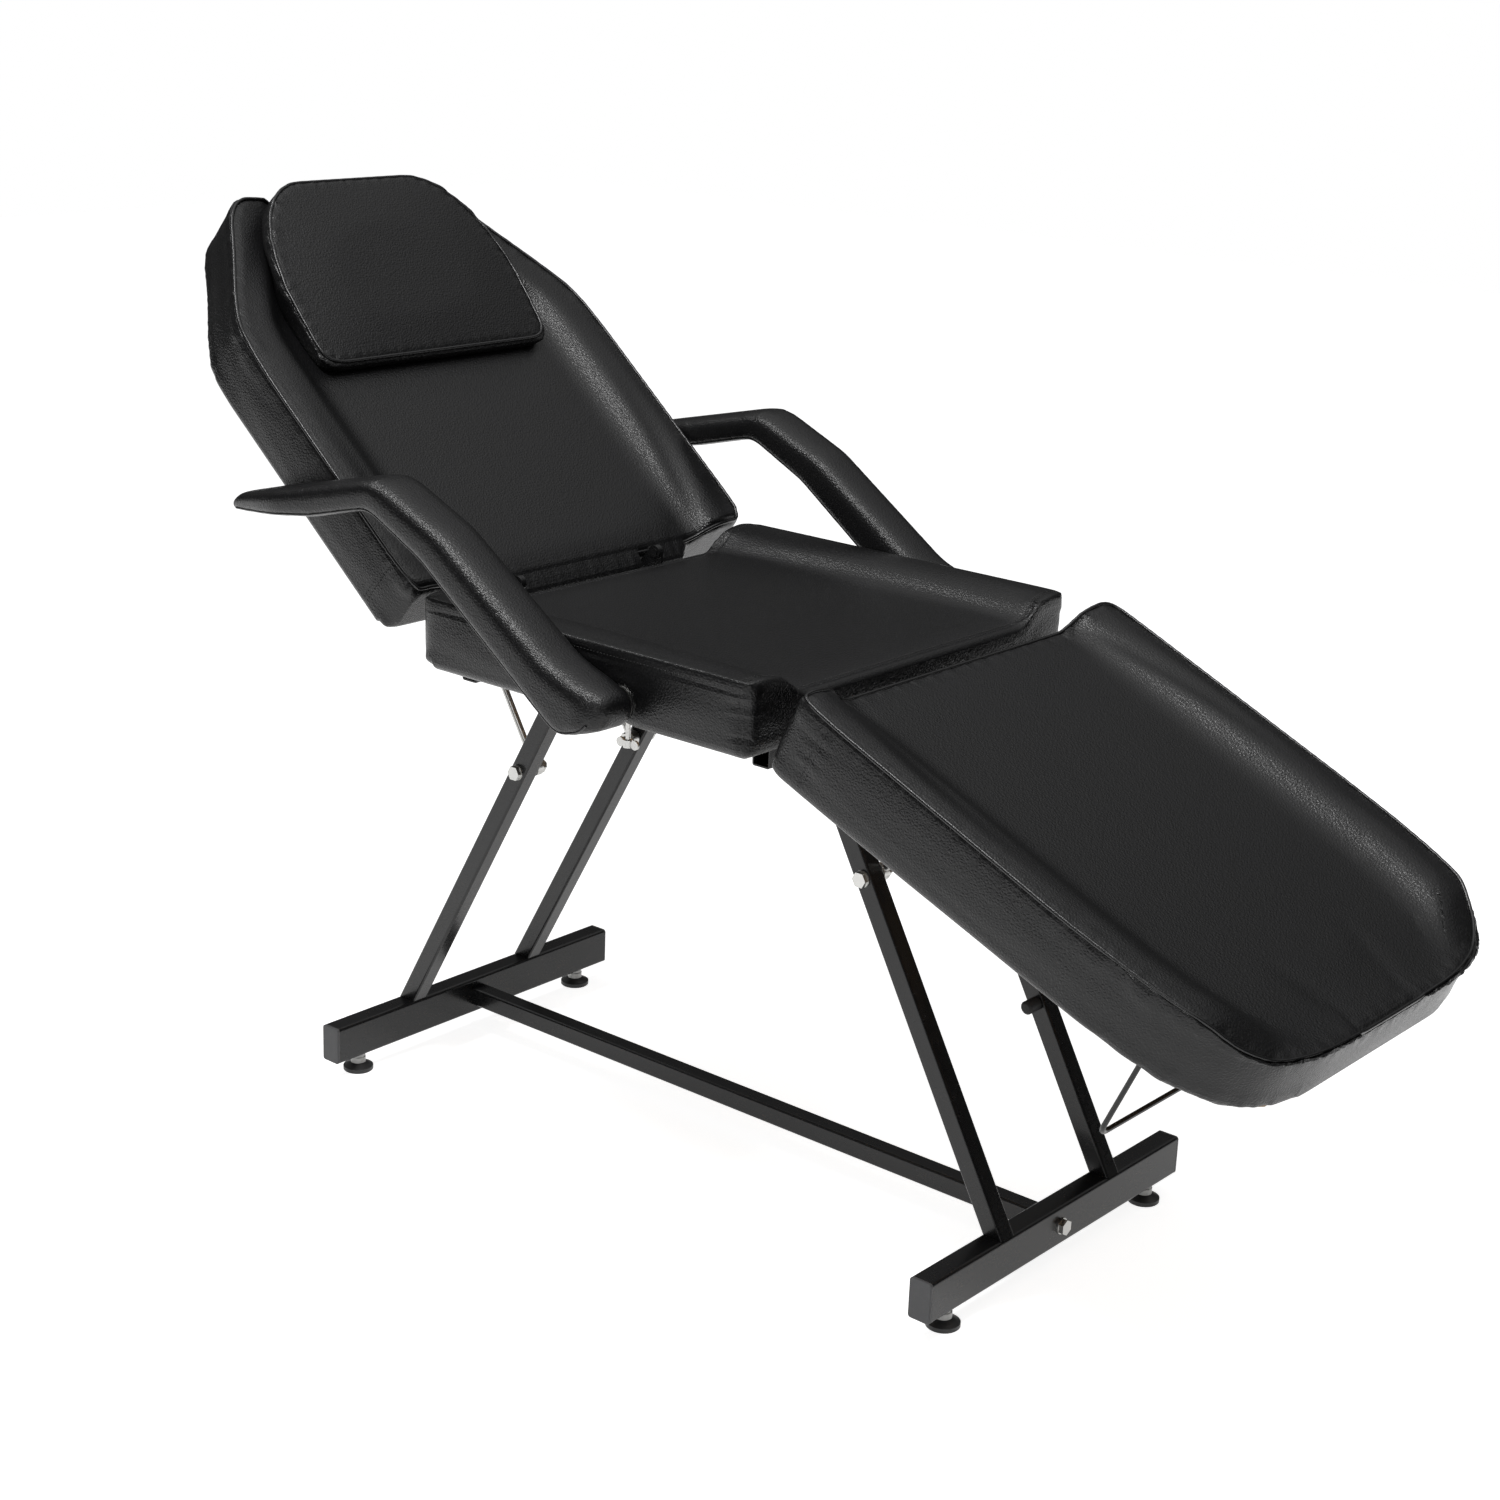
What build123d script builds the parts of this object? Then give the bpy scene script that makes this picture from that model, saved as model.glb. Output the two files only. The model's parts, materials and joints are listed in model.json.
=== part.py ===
from build123d import *
import os
from math import atan, atan2, cos, degrees, hypot, radians, sin

# Tattoo chair: a three-section padded bed on a folded-tube base.
# X runs from the head end to the foot end, Z is up, the origin is on the floor under the middle.
# Sections that turn are drawn lying flat, about their own hinge, and then turned to their resting angle.

# Base: two cross feet joined by a beam
foot_spacing = 976
foot_length = 510
foot_width = 30
foot_height = 50
foot_underside = 25
foot_corner = 4
tube_wall = 2
beam_size = 25
beam_corner = 3
beam_end_plate = 3
foot_cap_plate = 4
foot_cap_plug = 15
foot_cap_wall = 2
foot_cap_play = 0.2

# Levelling feet
leveller_inset = 45
leveller_radius = 20
leveller_rim = 6
leveller_dome = 5
leveller_neck_radius = 10
leveller_stud_radius = 5
leveller_stud_rise = 40
leveller_nut_height = 6
leveller_boss_radius = 9
leveller_boss_height = 20

# Fasteners
bolt_radius = 5
bolt_hex = 17
bolt_head_height = 6.4
washer_radius = 10
washer_height = 1.5
thread_tail = 5
running_play = 0.05
bolt_hole_play = 0.3
side_gap = 0.3
cut_over = 1

# Legs, leaning inwards to the seat
leg_size = 25
leg_corner = 3
leg_spacing = 220
rear_leg_inset = 72
front_leg_inset = 58
stay_pivot_rear_height = 450
stay_pivot_front_height = 455

# Seat frame
rail_size = 25
rail_corner = 3
seat_frame_top = 630
seat_rear = 222
seat_length = 518
seat_cross_margin = 55
seat_cross_inset = 18
front_cross_inset = 15

# Upholstery shared by the three sections
cushion_half_width = 305
cushion_depth = 88
cushion_edge_round = 12
bolster_width = 45
bolster_slope = 55
bolster_crown = 2
bolster_inner_drop = 2
slope_swell = 4
sunk_depth = 28
side_swell = 1.5
board_depth = 12
board_lip = 2

# Backrest
back_hinge_before_seat = 10
back_hinge_above_frame = 70
back_hinge_to_cushion = 11
back_length = 638
back_rest_angle = 40
back_low_angle = 0
back_high_angle = 70
back_outline_shares = (
    (0.0, 1.0), (0.585, 1.0), (0.635, 0.992), (0.677, 0.974), (0.752, 0.889), (0.854, 0.757),
    (0.931, 0.67), (0.965, 0.62), (1.0, 0.55),
)
back_rail_start = 25
back_rail_end_margin = 124
back_cross_end_margin = 229

# Leg rest
leg_hinge_past_seat = 40
leg_hinge_below_frame = 30
leg_rest_behind_hinge = 30
leg_rest_length = 640
leg_rest_angle = 24
leg_rest_high_angle = 0
leg_rest_low_angle = 50
leg_rest_outline_shares = (
    (0.0, 1.0), (0.58, 1.0), (0.7, 0.993), (0.78, 0.977), (0.86, 0.943), (0.93, 0.85), (0.965, 0.755),
    (0.985, 0.66), (1.0, 0.5),
)
leg_rest_rail_start = 20
leg_rest_rail_end_margin = 110
leg_rest_cross_end_margin = 210

# Hinge plates
hinge_plate = 4
hinge_eye = 9
hinge_pin_radius = 4
hinge_pin_head = 2
hinge_pin_head_radius = 6
hinge_arm_depth = 21
hinge_arm_below_cushion = 2
lug_overlap = 35

# Stays: bent rods whose crossbar rides the toothed sectors
stay_rod_radius = 4.5
stay_spacer = 2.2
stay_bend_radius = 16
stay_eye_radius = 11
stay_eye_swell = 1
back_crossbar_reach = 72
back_crossbar_drop = 46
back_stay_ratio = 0.40
leg_crossbar_reach = 100
leg_crossbar_drop = 39.5
leg_stay_ratio = 1.3

# Toothed sectors
sector_spacing = 120
sector_plate = 4
sector_flange_width = 25
sector_flange_depth = 3
sector_gap = 0.3
notch_depth = 3
tooth_step_angle = 5
path_step_angle = 0.01

# Headrest pillow
pillow_head_margin = 15
pillow_length = 275
pillow_side_gap = 2
pillow_corner_round = 105
pillow_heel_round = 25
pillow_height = 70
pillow_heel_height = 20
pillow_edge_round = 12
pillow_swell = 3
pillow_gap = 0.4

# Armrests
arm_side_gap = 3
arm_width = 74
arm_reach = 655
arm_rise = 240
arm_edge_round = 9
arm_outline_shares = (
    (-0.950, 0.500), (-0.915, 0.625), (-0.497, 0.890), (-0.336, 0.700), (-0.076, 0.220),
    (0.063, 0.085), (0.046, -0.062), (-0.044, -0.135), (-0.382, 0.535), (-0.516, 0.716),
    (-0.672, 0.610),
)
arm_round_shares = (0.012, 0.03, 0.11, 0.16, 0.12, 0.03, 0.02, 0.06, 0.10, 0.06, 0.12)
arm_tightening_share = 0.75
arm_bar_place = 328
arm_bar_radius = 10
arm_bar_end_margin = 7
arm_bar_fit = 0.1
socket_length = 185
socket_size = 25
socket_corner = 2
socket_flange_radius = 20
socket_flange_depth = 2.3
socket_nut_radius = 8
socket_nut_depth = 8
bar_inner_gap = 5

# Wing screws under the armrest sockets
wing_from_side = 15
wing_stem_radius = 3
wing_drop = 26
wing_hub_radius = 5.5
wing_hub_height = 9
wing_ear_radius = 5.5
wing_ear_reach = 11
wing_ear_depth = 3

# Peg and the wire rail
peg_radius = 8.5
peg_length = 22
peg_round = 3
peg_height = 266
wire_radius = 3
wire_bend_radius = 15
wire_side_margin = 55
wire_drop = 124
wire_end_margin = 130
wire_foot_radius = 12
wire_foot_depth = 3

# Places that follow from the sizes above
stay_eye_width = 2 * stay_rod_radius + stay_eye_swell
leveller_half = foot_length / 2 - leveller_inset
foot_top = foot_underside + foot_height
foot_middle = foot_underside + foot_height / 2
frame_underside = seat_frame_top - rail_size
seat_front = seat_rear + seat_length
leg_half = leg_spacing / 2
leg_inner = leg_half - leg_size / 2
leg_outer = leg_half + leg_size / 2
back_underside = -back_hinge_above_frame
leg_rest_underside = leg_hinge_below_frame
back_hinge = (seat_rear - back_hinge_before_seat, seat_frame_top - back_underside)
leg_hinge = (seat_front + leg_hinge_past_seat, seat_frame_top - leg_rest_underside)
leg_rise = frame_underside - foot_top
rear_slope = (seat_rear + rear_leg_inset) / leg_rise
front_slope = (seat_front - front_leg_inset - foot_spacing) / leg_rise
rear_pivot = ((stay_pivot_rear_height - foot_top) * rear_slope, stay_pivot_rear_height)
front_pivot = (
    foot_spacing + (stay_pivot_front_height - foot_top) * front_slope,
    stay_pivot_front_height,
)
stay_half = leg_inner - stay_spacer - side_gap - stay_eye_width / 2
back_end = back_hinge_to_cushion + back_length
leg_rest_end = leg_rest_length - leg_rest_behind_hinge
wire_half = cushion_half_width - wire_side_margin
wire_place = leg_rest_end - wire_end_margin
pillow_half = cushion_half_width - bolster_width - bolster_slope - pillow_side_gap
pillow_front = back_end - pillow_head_margin - pillow_length
socket_middle = seat_frame_top + board_depth + socket_size / 2
arm_inner_side = cushion_half_width + arm_side_gap
arm_bar_x = seat_rear + arm_bar_place
board_margin = cushion_edge_round + board_lip
sides = (("near", -1), ("far", 1))


def block(x_from, x_to, y_from, y_to, z_from, z_to):
    """Upright block between two corners."""
    size = (abs(x_to - x_from), abs(y_to - y_from), abs(z_to - z_from))
    return Pos((x_from + x_to) / 2, (y_from + y_to) / 2, (z_from + z_to) / 2) * Box(*size)


def rod(radius, length):
    """Round rod standing on the origin."""
    return Cylinder(radius, length, align=(Align.CENTER, Align.CENTER, Align.MIN))


def tube(width, height, wall, corner, length):
    """Square or oblong tube with rounded outer corners, standing on the origin."""
    outer = RectangleRounded(width, height, corner)
    return extrude(outer - Rectangle(width - 2 * wall, height - 2 * wall), length)


def along_x(shape, x, y, z):
    """Lay a standing piece along +X from a point."""
    return Pos(x, y, z) * Rot(0, 90, 0) * shape


def along_y(shape, x, y, z, side=1):
    """Lay a standing piece along Y from a point, towards the given side."""
    return Pos(x, y, z) * Rot(-90 * side, 0, 0) * shape


def rail_along_x(x_from, x_to, y, z_middle):
    """Frame tube along X."""
    return along_x(tube(rail_size, rail_size, tube_wall, rail_corner, x_to - x_from), x_from, y, z_middle)


def rail_along_y(x, y_from, y_to, z_middle):
    """Frame tube along Y."""
    return along_y(tube(rail_size, rail_size, tube_wall, rail_corner, y_to - y_from), x, y_from, z_middle)


def hexagon(height):
    """Hexagonal head or nut standing on the origin."""
    return extrude(RegularPolygon(bolt_hex / 2 / cos(radians(30)), 6), height)


def screw(length):
    """Bolt whose head stands on the origin's far side and whose shank runs up from it."""
    head = Rot(180, 0, 0) * Pos(0, 0, washer_height) * hexagon(bolt_head_height)
    washer = Rot(180, 0, 0) * rod(washer_radius, washer_height)
    return head + washer + rod(bolt_radius, length)


def foot():
    """Cross foot: oblong tube with a threaded boss inside at each levelling foot."""
    body = tube(foot_width, foot_height, tube_wall, foot_corner, foot_length)
    body = along_y(body, 0, -foot_length / 2, foot_middle)
    inside = foot_underside + tube_wall
    for _, side in sides:
        y = side * leveller_half
        body += Pos(0, y, inside) * rod(leveller_boss_radius, leveller_boss_height)
        bore = rod(leveller_stud_radius + running_play, leveller_boss_height + 2 * (tube_wall + cut_over))
        body -= Pos(0, y, foot_underside - cut_over) * bore
    bolt_hole = rod(bolt_radius + bolt_hole_play, foot_width + 2 * cut_over)
    return body - along_x(bolt_hole, -foot_width / 2 - cut_over, 0, foot_middle)


def foot_cap():
    """Plastic end cap: a slightly domed plate with a hollow plug, plate facing +Z."""
    plate = extrude(RectangleRounded(foot_width, foot_height, foot_corner), foot_cap_plate)
    plate = chamfer(plate.edges().group_by(Axis.Z)[-1], foot_cap_plate / 4)
    plug_width = foot_width - 2 * (tube_wall + foot_cap_play)
    plug_height = foot_height - 2 * (tube_wall + foot_cap_play)
    plug = Rectangle(plug_width, plug_height)
    plug -= Rectangle(plug_width - 2 * foot_cap_wall, plug_height - 2 * foot_cap_wall)
    return plate + Pos(0, 0, -foot_cap_plug) * extrude(plug, foot_cap_plug)


def leveller():
    """Levelling foot: moulded disc, stud and lock nut, standing on the floor."""
    dome_top = leveller_rim + leveller_dome
    nut_top = foot_underside - side_gap
    neck_top = nut_top - leveller_nut_height
    outline = Polyline(
        (0, 0), (leveller_radius - leveller_rim / 6, 0), (leveller_radius, leveller_rim / 6),
        (leveller_radius, leveller_rim), (leveller_neck_radius, dome_top),
        (leveller_neck_radius, neck_top), (0, neck_top), close=True,
    )
    disc = revolve(Plane.XZ * make_face(outline), Axis.Z)
    stud = rod(leveller_stud_radius, neck_top + leveller_stud_rise - leveller_boss_height)
    return disc + stud + Pos(0, 0, neck_top) * hexagon(leveller_nut_height)


def beam():
    """Long tube between the feet, closed at each end by a threaded plate."""
    start = foot_width / 2
    length = foot_spacing - foot_width
    body = along_x(tube(beam_size, beam_size, tube_wall, beam_corner, length), start, 0, foot_middle)
    plate = extrude(Rectangle(beam_size - 2 * tube_wall, beam_size - 2 * tube_wall), beam_end_plate)
    plate -= rod(bolt_radius + running_play, beam_end_plate)
    body += along_x(plate, start, 0, foot_middle)
    return body + along_x(plate, start + length - beam_end_plate, 0, foot_middle)


def beam_bolt():
    """Bolt through a foot into the beam, pointing up from its washer's seat."""
    return screw(foot_width + beam_end_plate + thread_tail)


def leg(rear, side):
    """Leaning leg from the top of a foot to the seat frame, drilled for the stay bolt."""
    slope = rear_slope if rear else front_slope
    slant = hypot(leg_rise, leg_rise * slope) + 4 * leg_size
    body = Pos(0, 0, -2 * leg_size) * tube(leg_size, leg_size, tube_wall, leg_corner, slant)
    foot_x = 0 if rear else foot_spacing
    body = Pos(foot_x, side * leg_half, foot_top) * Rot(0, degrees(atan(slope)), 0) * body
    reach = foot_spacing
    body &= block(-reach, reach * 2, -reach, reach, foot_top, frame_underside)
    pivot = rear_pivot if rear else front_pivot
    hole = rod(bolt_radius + running_play, leg_size + 2 * cut_over)
    return body - along_y(hole, pivot[0], side * (leg_inner - cut_over), pivot[1], side)


def leg_bolt(pivot, side):
    """Pivot bolt: head outside the leg, spacer, stay eye and nut inside it."""
    nut_start = leg_size + stay_spacer + stay_eye_width + 2 * side_gap
    shape = screw(nut_start + bolt_head_height + thread_tail)
    shape += Pos(0, 0, leg_size) * rod(washer_radius, stay_spacer)
    shape += Pos(0, 0, nut_start) * (hexagon(bolt_head_height) + rod(bolt_radius, bolt_head_height))
    return along_y(shape, pivot[0], side * leg_outer, pivot[1], -side)


def width_at(share, outline_shares):
    """Half width of a cushion at a share of its length."""
    for (share_a, width_a), (share_b, width_b) in zip(outline_shares, outline_shares[1:]):
        if share <= share_b:
            blend = (share - share_a) / (share_b - share_a)
            return cushion_half_width * (width_a + blend * (width_b - width_a))
    return cushion_half_width * outline_shares[-1][1]


def cushion_section(x, half_width, underside, pull):
    """Cross outline of a cushion: flat bottom, upright sides, two raised bolsters, sunk centre."""
    w = half_width - pull
    low = underside + pull
    high = underside + cushion_depth - pull
    centre = high - sunk_depth
    r = cushion_edge_round
    near_corner = r * (1 - cos(radians(45)))
    crest_in = w - bolster_width
    foot_in = crest_in - bolster_slope
    crest_low = high - bolster_inner_drop
    slope_mid = ((crest_in + foot_in) / 2, (crest_low + centre) / 2)
    edges = []
    for s in (1, -1):
        arcs = (
            ((w - r, low), (w - near_corner, low + near_corner), (w, low + r)),
            ((w, low + r), (w + side_swell, (low + high) / 2), (w, high - r)),
            ((w, high - r), (w - near_corner, high - near_corner), (w - r, high)),
            ((w - r, high), (w - r - (bolster_width - r) / 2, high + bolster_crown), (crest_in, crest_low)),
            ((crest_in, crest_low),
             (crest_in - bolster_slope / 4, (crest_low + slope_mid[1]) / 2 + slope_swell), slope_mid),
            (slope_mid, (foot_in + bolster_slope / 4, (centre + slope_mid[1]) / 2 - slope_swell),
             (foot_in, centre)),
        )
        if s < 0:
            arcs = tuple(tuple(reversed(arc)) for arc in reversed(arcs))
        edges += [ThreePointArc(*((s * y, z) for y, z in arc)) for arc in arcs]
        if s > 0:
            edges.append(Line((foot_in, centre), (-foot_in, centre)))
    edges.append(Line((-(w - r), low), (w - r, low)))
    plane = Plane(origin=(x, 0, 0), x_dir=(0, 1, 0), z_dir=(1, 0, 0))
    return plane * make_face(Wire(edges))


def cushion(start, length, direction, underside, outline_shares):
    """Cushion lofted along its length, its ends rounded in and its outline following the shares."""
    rounding = []
    for step in range(3):
        turn = radians(90 * step / 2)
        rounding.append((cushion_edge_round * (1 - cos(turn)), cushion_edge_round * (1 - sin(turn))))
    stations = [(distance, pull) for distance, pull in rounding]
    stations += [(length - distance, pull) for distance, pull in rounding]
    for share, _ in outline_shares:
        distance = share * length
        if cushion_edge_round < distance < length - cushion_edge_round:
            stations.append((distance, 0))
    sections = []
    for distance, pull in sorted(stations):
        half_width = width_at(distance / length, outline_shares)
        sections.append(cushion_section(start + direction * distance, half_width, underside, pull))
    return loft(sections, ruled=True)


def board(start, length, direction, underside, outline_shares):
    """Plywood board let into the underside of a cushion, following its outline."""
    shares = [board_margin / length]
    shares += [s for s, _ in outline_shares if board_margin < s * length < length - board_margin]
    shares += [1 - board_margin / length]
    upper = [(start + direction * s * length, width_at(s, outline_shares) - board_margin) for s in shares]
    lower = [(x, -y) for x, y in reversed(upper)]
    outline = Polyline(*upper, *lower, close=True)
    return Pos(0, 0, underside) * extrude(make_face(outline), board_depth, dir=(0, 0, 1))


def seat_board():
    """Seat board with a hole for each wing screw's nut."""
    shape = board(seat_rear, seat_length, 1, seat_frame_top, ((0, 1), (1, 1)))
    for _, side in sides:
        hole = rod(socket_nut_radius, board_depth + 2 * cut_over)
        nut_y = side * (cushion_half_width - wing_from_side)
        shape -= Pos(arm_bar_x, nut_y, seat_frame_top - cut_over) * hole
    return shape


def seat_cushion():
    """Seat cushion, hollowed for the board and for the armrest sockets."""
    shape = cushion(seat_rear, seat_length, 1, seat_frame_top, ((0, 1), (1, 1)))
    shape -= board(seat_rear, seat_length, 1, seat_frame_top, ((0, 1), (1, 1)))
    half = socket_size / 2
    for _, side in sides:
        inner = side * (cushion_half_width - socket_length)
        outer = side * (cushion_half_width + side_swell + cut_over)
        low = socket_middle - half
        shape -= block(arm_bar_x - half, arm_bar_x + half, inner, outer, low, low + socket_size)
        pocket = rod(socket_flange_radius, side_swell + cut_over)
        shape -= along_y(pocket, arm_bar_x, side * cushion_half_width, socket_middle, side)
        nut_room = rod(socket_nut_radius, 2 * board_depth)
        nut_y = side * (cushion_half_width - wing_from_side)
        shape -= Pos(arm_bar_x, nut_y, seat_frame_top - board_depth) * nut_room
    return shape


def arm_socket(side):
    """Square tube that takes the armrest's bar, with a round flange and a nut below."""
    inner = side * (cushion_half_width - socket_length)
    body = along_y(
        tube(socket_size, socket_size, tube_wall, socket_corner, socket_length),
        arm_bar_x, inner, socket_middle, side,
    )
    flange = rod(socket_flange_radius, socket_flange_depth)
    flange -= extrude(Rectangle(socket_size - 2 * tube_wall, socket_size - 2 * tube_wall), socket_flange_depth)
    body += along_y(flange, arm_bar_x, side * cushion_half_width, socket_middle, side)
    nut_y = side * (cushion_half_width - wing_from_side)
    socket_low = socket_middle - socket_size / 2
    body += Pos(arm_bar_x, nut_y, socket_low - socket_nut_depth) * rod(socket_nut_radius, socket_nut_depth)
    thread = rod(wing_stem_radius + running_play, socket_nut_depth + 2 * tube_wall)
    return body - Pos(arm_bar_x, nut_y, socket_low - socket_nut_depth - tube_wall / 2) * thread


def arm_pad_section(y, pull):
    """Side outline of the armrest about the bar's axis, drawn in by a distance."""
    bar = Vector(arm_bar_x, socket_middle)
    points = [bar + Vector(x * arm_reach, z * arm_rise) for x, z in arm_outline_shares]
    drawn = []
    for before, here, after in zip(points[-1:] + points[:-1], points, points[1:] + points[:1]):
        coming = (here - before).normalized()
        going = (after - here).normalized()
        inward = Vector(coming.Y + going.Y, -coming.X - going.X)
        drawn.append(here + inward * (pull / (1 + coming.dot(going))))
    tighter = 1 - arm_tightening_share * pull / arm_edge_round
    radii = [share * arm_reach * tighter for share in arm_round_shares]
    outline = FilletPolyline(*drawn, radius=radii, close=True)
    plane = Plane(origin=(0, y, 0), x_dir=(1, 0, 0), z_dir=(0, -1, 0))
    return plane * make_face(outline)


def arm_pad(side):
    """Bent armrest pad, lofted across its width with rounded edges, and bored for its bar."""
    middle = side * (arm_inner_side + arm_width / 2)
    sections = []
    for end in (-1, 1):
        turns = [radians(90 * step / 2) for step in range(3)]
        for turn in turns if end < 0 else turns[::-1]:
            offset = arm_width / 2 - arm_edge_round * (1 - cos(turn))
            sections.append(arm_pad_section(middle + end * offset, arm_edge_round * (1 - sin(turn))))
    body = loft(sections, ruled=True)
    bore_depth = arm_width - arm_bar_end_margin + cut_over
    bore = rod(arm_bar_radius + arm_bar_fit, bore_depth)
    return body - along_y(bore, arm_bar_x, side * (arm_inner_side - cut_over), socket_middle, side)


def arm_bar(side):
    """Plated bar from inside the pad into the socket."""
    outer = arm_inner_side + arm_width - arm_bar_end_margin
    inner = cushion_half_width - socket_length + bar_inner_gap
    body = rod(arm_bar_radius, outer - inner)
    body = chamfer(body.edges().group_by(Axis.Z)[0], arm_bar_radius / 8)
    return along_y(body, arm_bar_x, side * inner, socket_middle, side)


def wing_screw(side):
    """Wing screw that clamps the armrest's bar from below."""
    top = socket_middle - arm_bar_radius - side_gap
    bottom = seat_frame_top - wing_drop
    body = Pos(0, 0, bottom) * rod(wing_stem_radius, top - bottom)
    body += Pos(0, 0, bottom - wing_hub_height / 2) * rod(wing_hub_radius, wing_hub_height)
    ear = Pos(wing_ear_reach, 0) * Circle(wing_ear_radius)
    ear += Pos(wing_ear_reach / 2, 0) * Rectangle(wing_ear_reach, wing_ear_radius)
    ears = Sketch() + ear + Rot(0, 0, 180) * ear
    plate = extrude(Plane.XZ * ears, wing_ear_depth / 2, both=True)
    body += Pos(0, 0, bottom) * plate
    return Pos(arm_bar_x, side * (cushion_half_width - wing_from_side), 0) * body


def upright_plate(faces, y_inner, side):
    """Flat plate standing in the XZ plane, its inner face at the given distance from the middle."""
    middle = side * (y_inner + hinge_plate / 2)
    return Pos(0, middle, 0) * extrude(Plane.XZ * faces, hinge_plate / 2, both=True)


def box_face(x_from, x_to, z_from, z_to):
    """Rectangle drawn in the side view."""
    return Pos((x_from + x_to) / 2, (z_from + z_to) / 2) * Rectangle(abs(x_to - x_from), abs(z_to - z_from))


def hinge_pin(side, head_radius):
    """Pin through the lug and the seat's plate, headed at its inner end, about the origin."""
    inner = leg_outer - side_gap
    length = 2 * hinge_plate + 2 * side_gap
    pin = along_y(rod(hinge_pin_radius, length), 0, side * inner, 0, side)
    return pin + along_y(rod(head_radius, hinge_pin_head), 0, side * inner, 0, -side)


def back_arm_faces(x_far):
    """Side view of a backrest hinge plate: an eye, an upright and an arm below the cushion."""
    arm_top = back_underside - hinge_arm_below_cushion
    arm_low = arm_top - hinge_arm_depth
    return (
        Circle(hinge_eye)
        + box_face(-hinge_eye, hinge_eye, arm_low, 0)
        + box_face(min(-hinge_eye, x_far), max(hinge_eye, x_far), arm_low, arm_top)
    )


def back_hinge_plate(side):
    """Seat side of the backrest hinge, welded to the rear cross rail, with its pin."""
    cross_face = seat_rear + seat_cross_inset - back_hinge[0]
    plate = upright_plate(back_arm_faces(cross_face), leg_outer + hinge_plate + side_gap, side)
    return Pos(back_hinge[0], 0, back_hinge[1]) * (plate + hinge_pin(side, hinge_pin_head_radius))


def leg_hinge_plate(side):
    """Seat side of the leg rest's hinge, welded to the front cross rail, with its pin."""
    cross_face = -leg_hinge_past_seat - front_cross_inset
    top = leg_rest_underside - hinge_arm_below_cushion
    web = Polyline(
        (cross_face, top), (cross_face + hinge_eye, top), (0, hinge_eye), (0, -hinge_eye),
        (cross_face, leg_rest_underside - rail_size), close=True,
    )
    plate = upright_plate(Circle(hinge_eye) + make_face(web), leg_outer + hinge_plate + side_gap, side)
    head = min(hinge_pin_head_radius, leg_rest_underside - rail_size - side_gap)
    return Pos(leg_hinge[0], 0, leg_hinge[1]) * (plate + hinge_pin(side, head))


def pin_bore(side):
    """Cut for the hinge pin through a lug."""
    bore = rod(hinge_pin_radius + running_play, hinge_plate + 2 * cut_over)
    return along_y(bore, 0, side * (leg_outer - cut_over), 0, side)


def back_rail(side):
    """Backrest side rail with its hinge lug, lying flat about the hinge."""
    middle = back_underside - rail_size / 2
    rail = rail_along_x(back_rail_end_margin - back_end, -back_rail_start, side * leg_half, middle)
    lug = upright_plate(back_arm_faces(-back_rail_start - lug_overlap), leg_outer, side)
    return rail + (lug - pin_bore(side))


def leg_rest_rail(side):
    """Leg-rest side rail with its hinge lug, lying flat about the hinge."""
    middle = leg_rest_underside - rail_size / 2
    rail_end = leg_rest_end - leg_rest_rail_end_margin
    rail = rail_along_x(-leg_rest_rail_start, rail_end, side * leg_half, middle)
    faces = Circle(hinge_eye) + box_face(-hinge_eye, hinge_eye, 0, leg_rest_underside)
    faces += box_face(-hinge_eye, lug_overlap, middle, leg_rest_underside)
    return rail + (upright_plate(faces, leg_outer, side) - pin_bore(side))


def crossbar_place(pivot, hinge, length, angle, ratio, rest, facing, section_angle):
    """Centre of a stay's crossbar as the flat section sees it when it stands at an angle."""
    lean = radians(angle + facing * ratio * (section_angle - rest))
    x = pivot[0] - facing * length * cos(lean) - hinge[0]
    z = pivot[1] + length * sin(lean) - hinge[1]
    turn = radians(section_angle)
    return x * cos(turn) - z * sin(turn), x * sin(turn) + z * cos(turn)


def offset_place(stay, section_angle, distance):
    """Point beside the crossbar's path, on the cushion's side of it."""
    ahead = crossbar_place(*stay, section_angle + path_step_angle)
    behind = crossbar_place(*stay, section_angle - path_step_angle)
    run = (ahead[0] - behind[0], ahead[1] - behind[1])
    size = hypot(*run) if run[0] > 0 else -hypot(*run)
    here = crossbar_place(*stay, section_angle)
    return here[0] - run[1] / size * distance, here[1] + run[0] / size * distance


def sector(stay, low_angle, high_angle, underside, side):
    """Toothed sector: scallops along the crossbar's path below a screwed flange."""
    clear = stay_rod_radius + sector_gap
    count = round((high_angle - low_angle) / tooth_step_angle)
    first = low_angle - tooth_step_angle / 2
    tips = [offset_place(stay, first + i * tooth_step_angle, clear) for i in range(count + 2)]
    deep = clear + notch_depth
    hollows = [offset_place(stay, low_angle + i * tooth_step_angle, deep) for i in range(count + 1)]
    edges = [ThreePointArc(a, b, c) for a, b, c in zip(tips, hollows, tips[1:])]
    start = (tips[0][0], underside)
    end = (tips[-1][0], underside)
    edges += [Line(tips[-1], end), Line(end, start), Line(start, tips[0])]
    face = Plane.XZ * make_face(Wire(edges))
    y = side * sector_spacing / 2
    plate = Pos(0, y, 0) * extrude(face, sector_plate / 2, both=True)
    flange = block(
        start[0], end[0], y - sector_flange_width / 2, y + sector_flange_width / 2,
        underside - sector_flange_depth, underside,
    )
    return plate + flange


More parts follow.
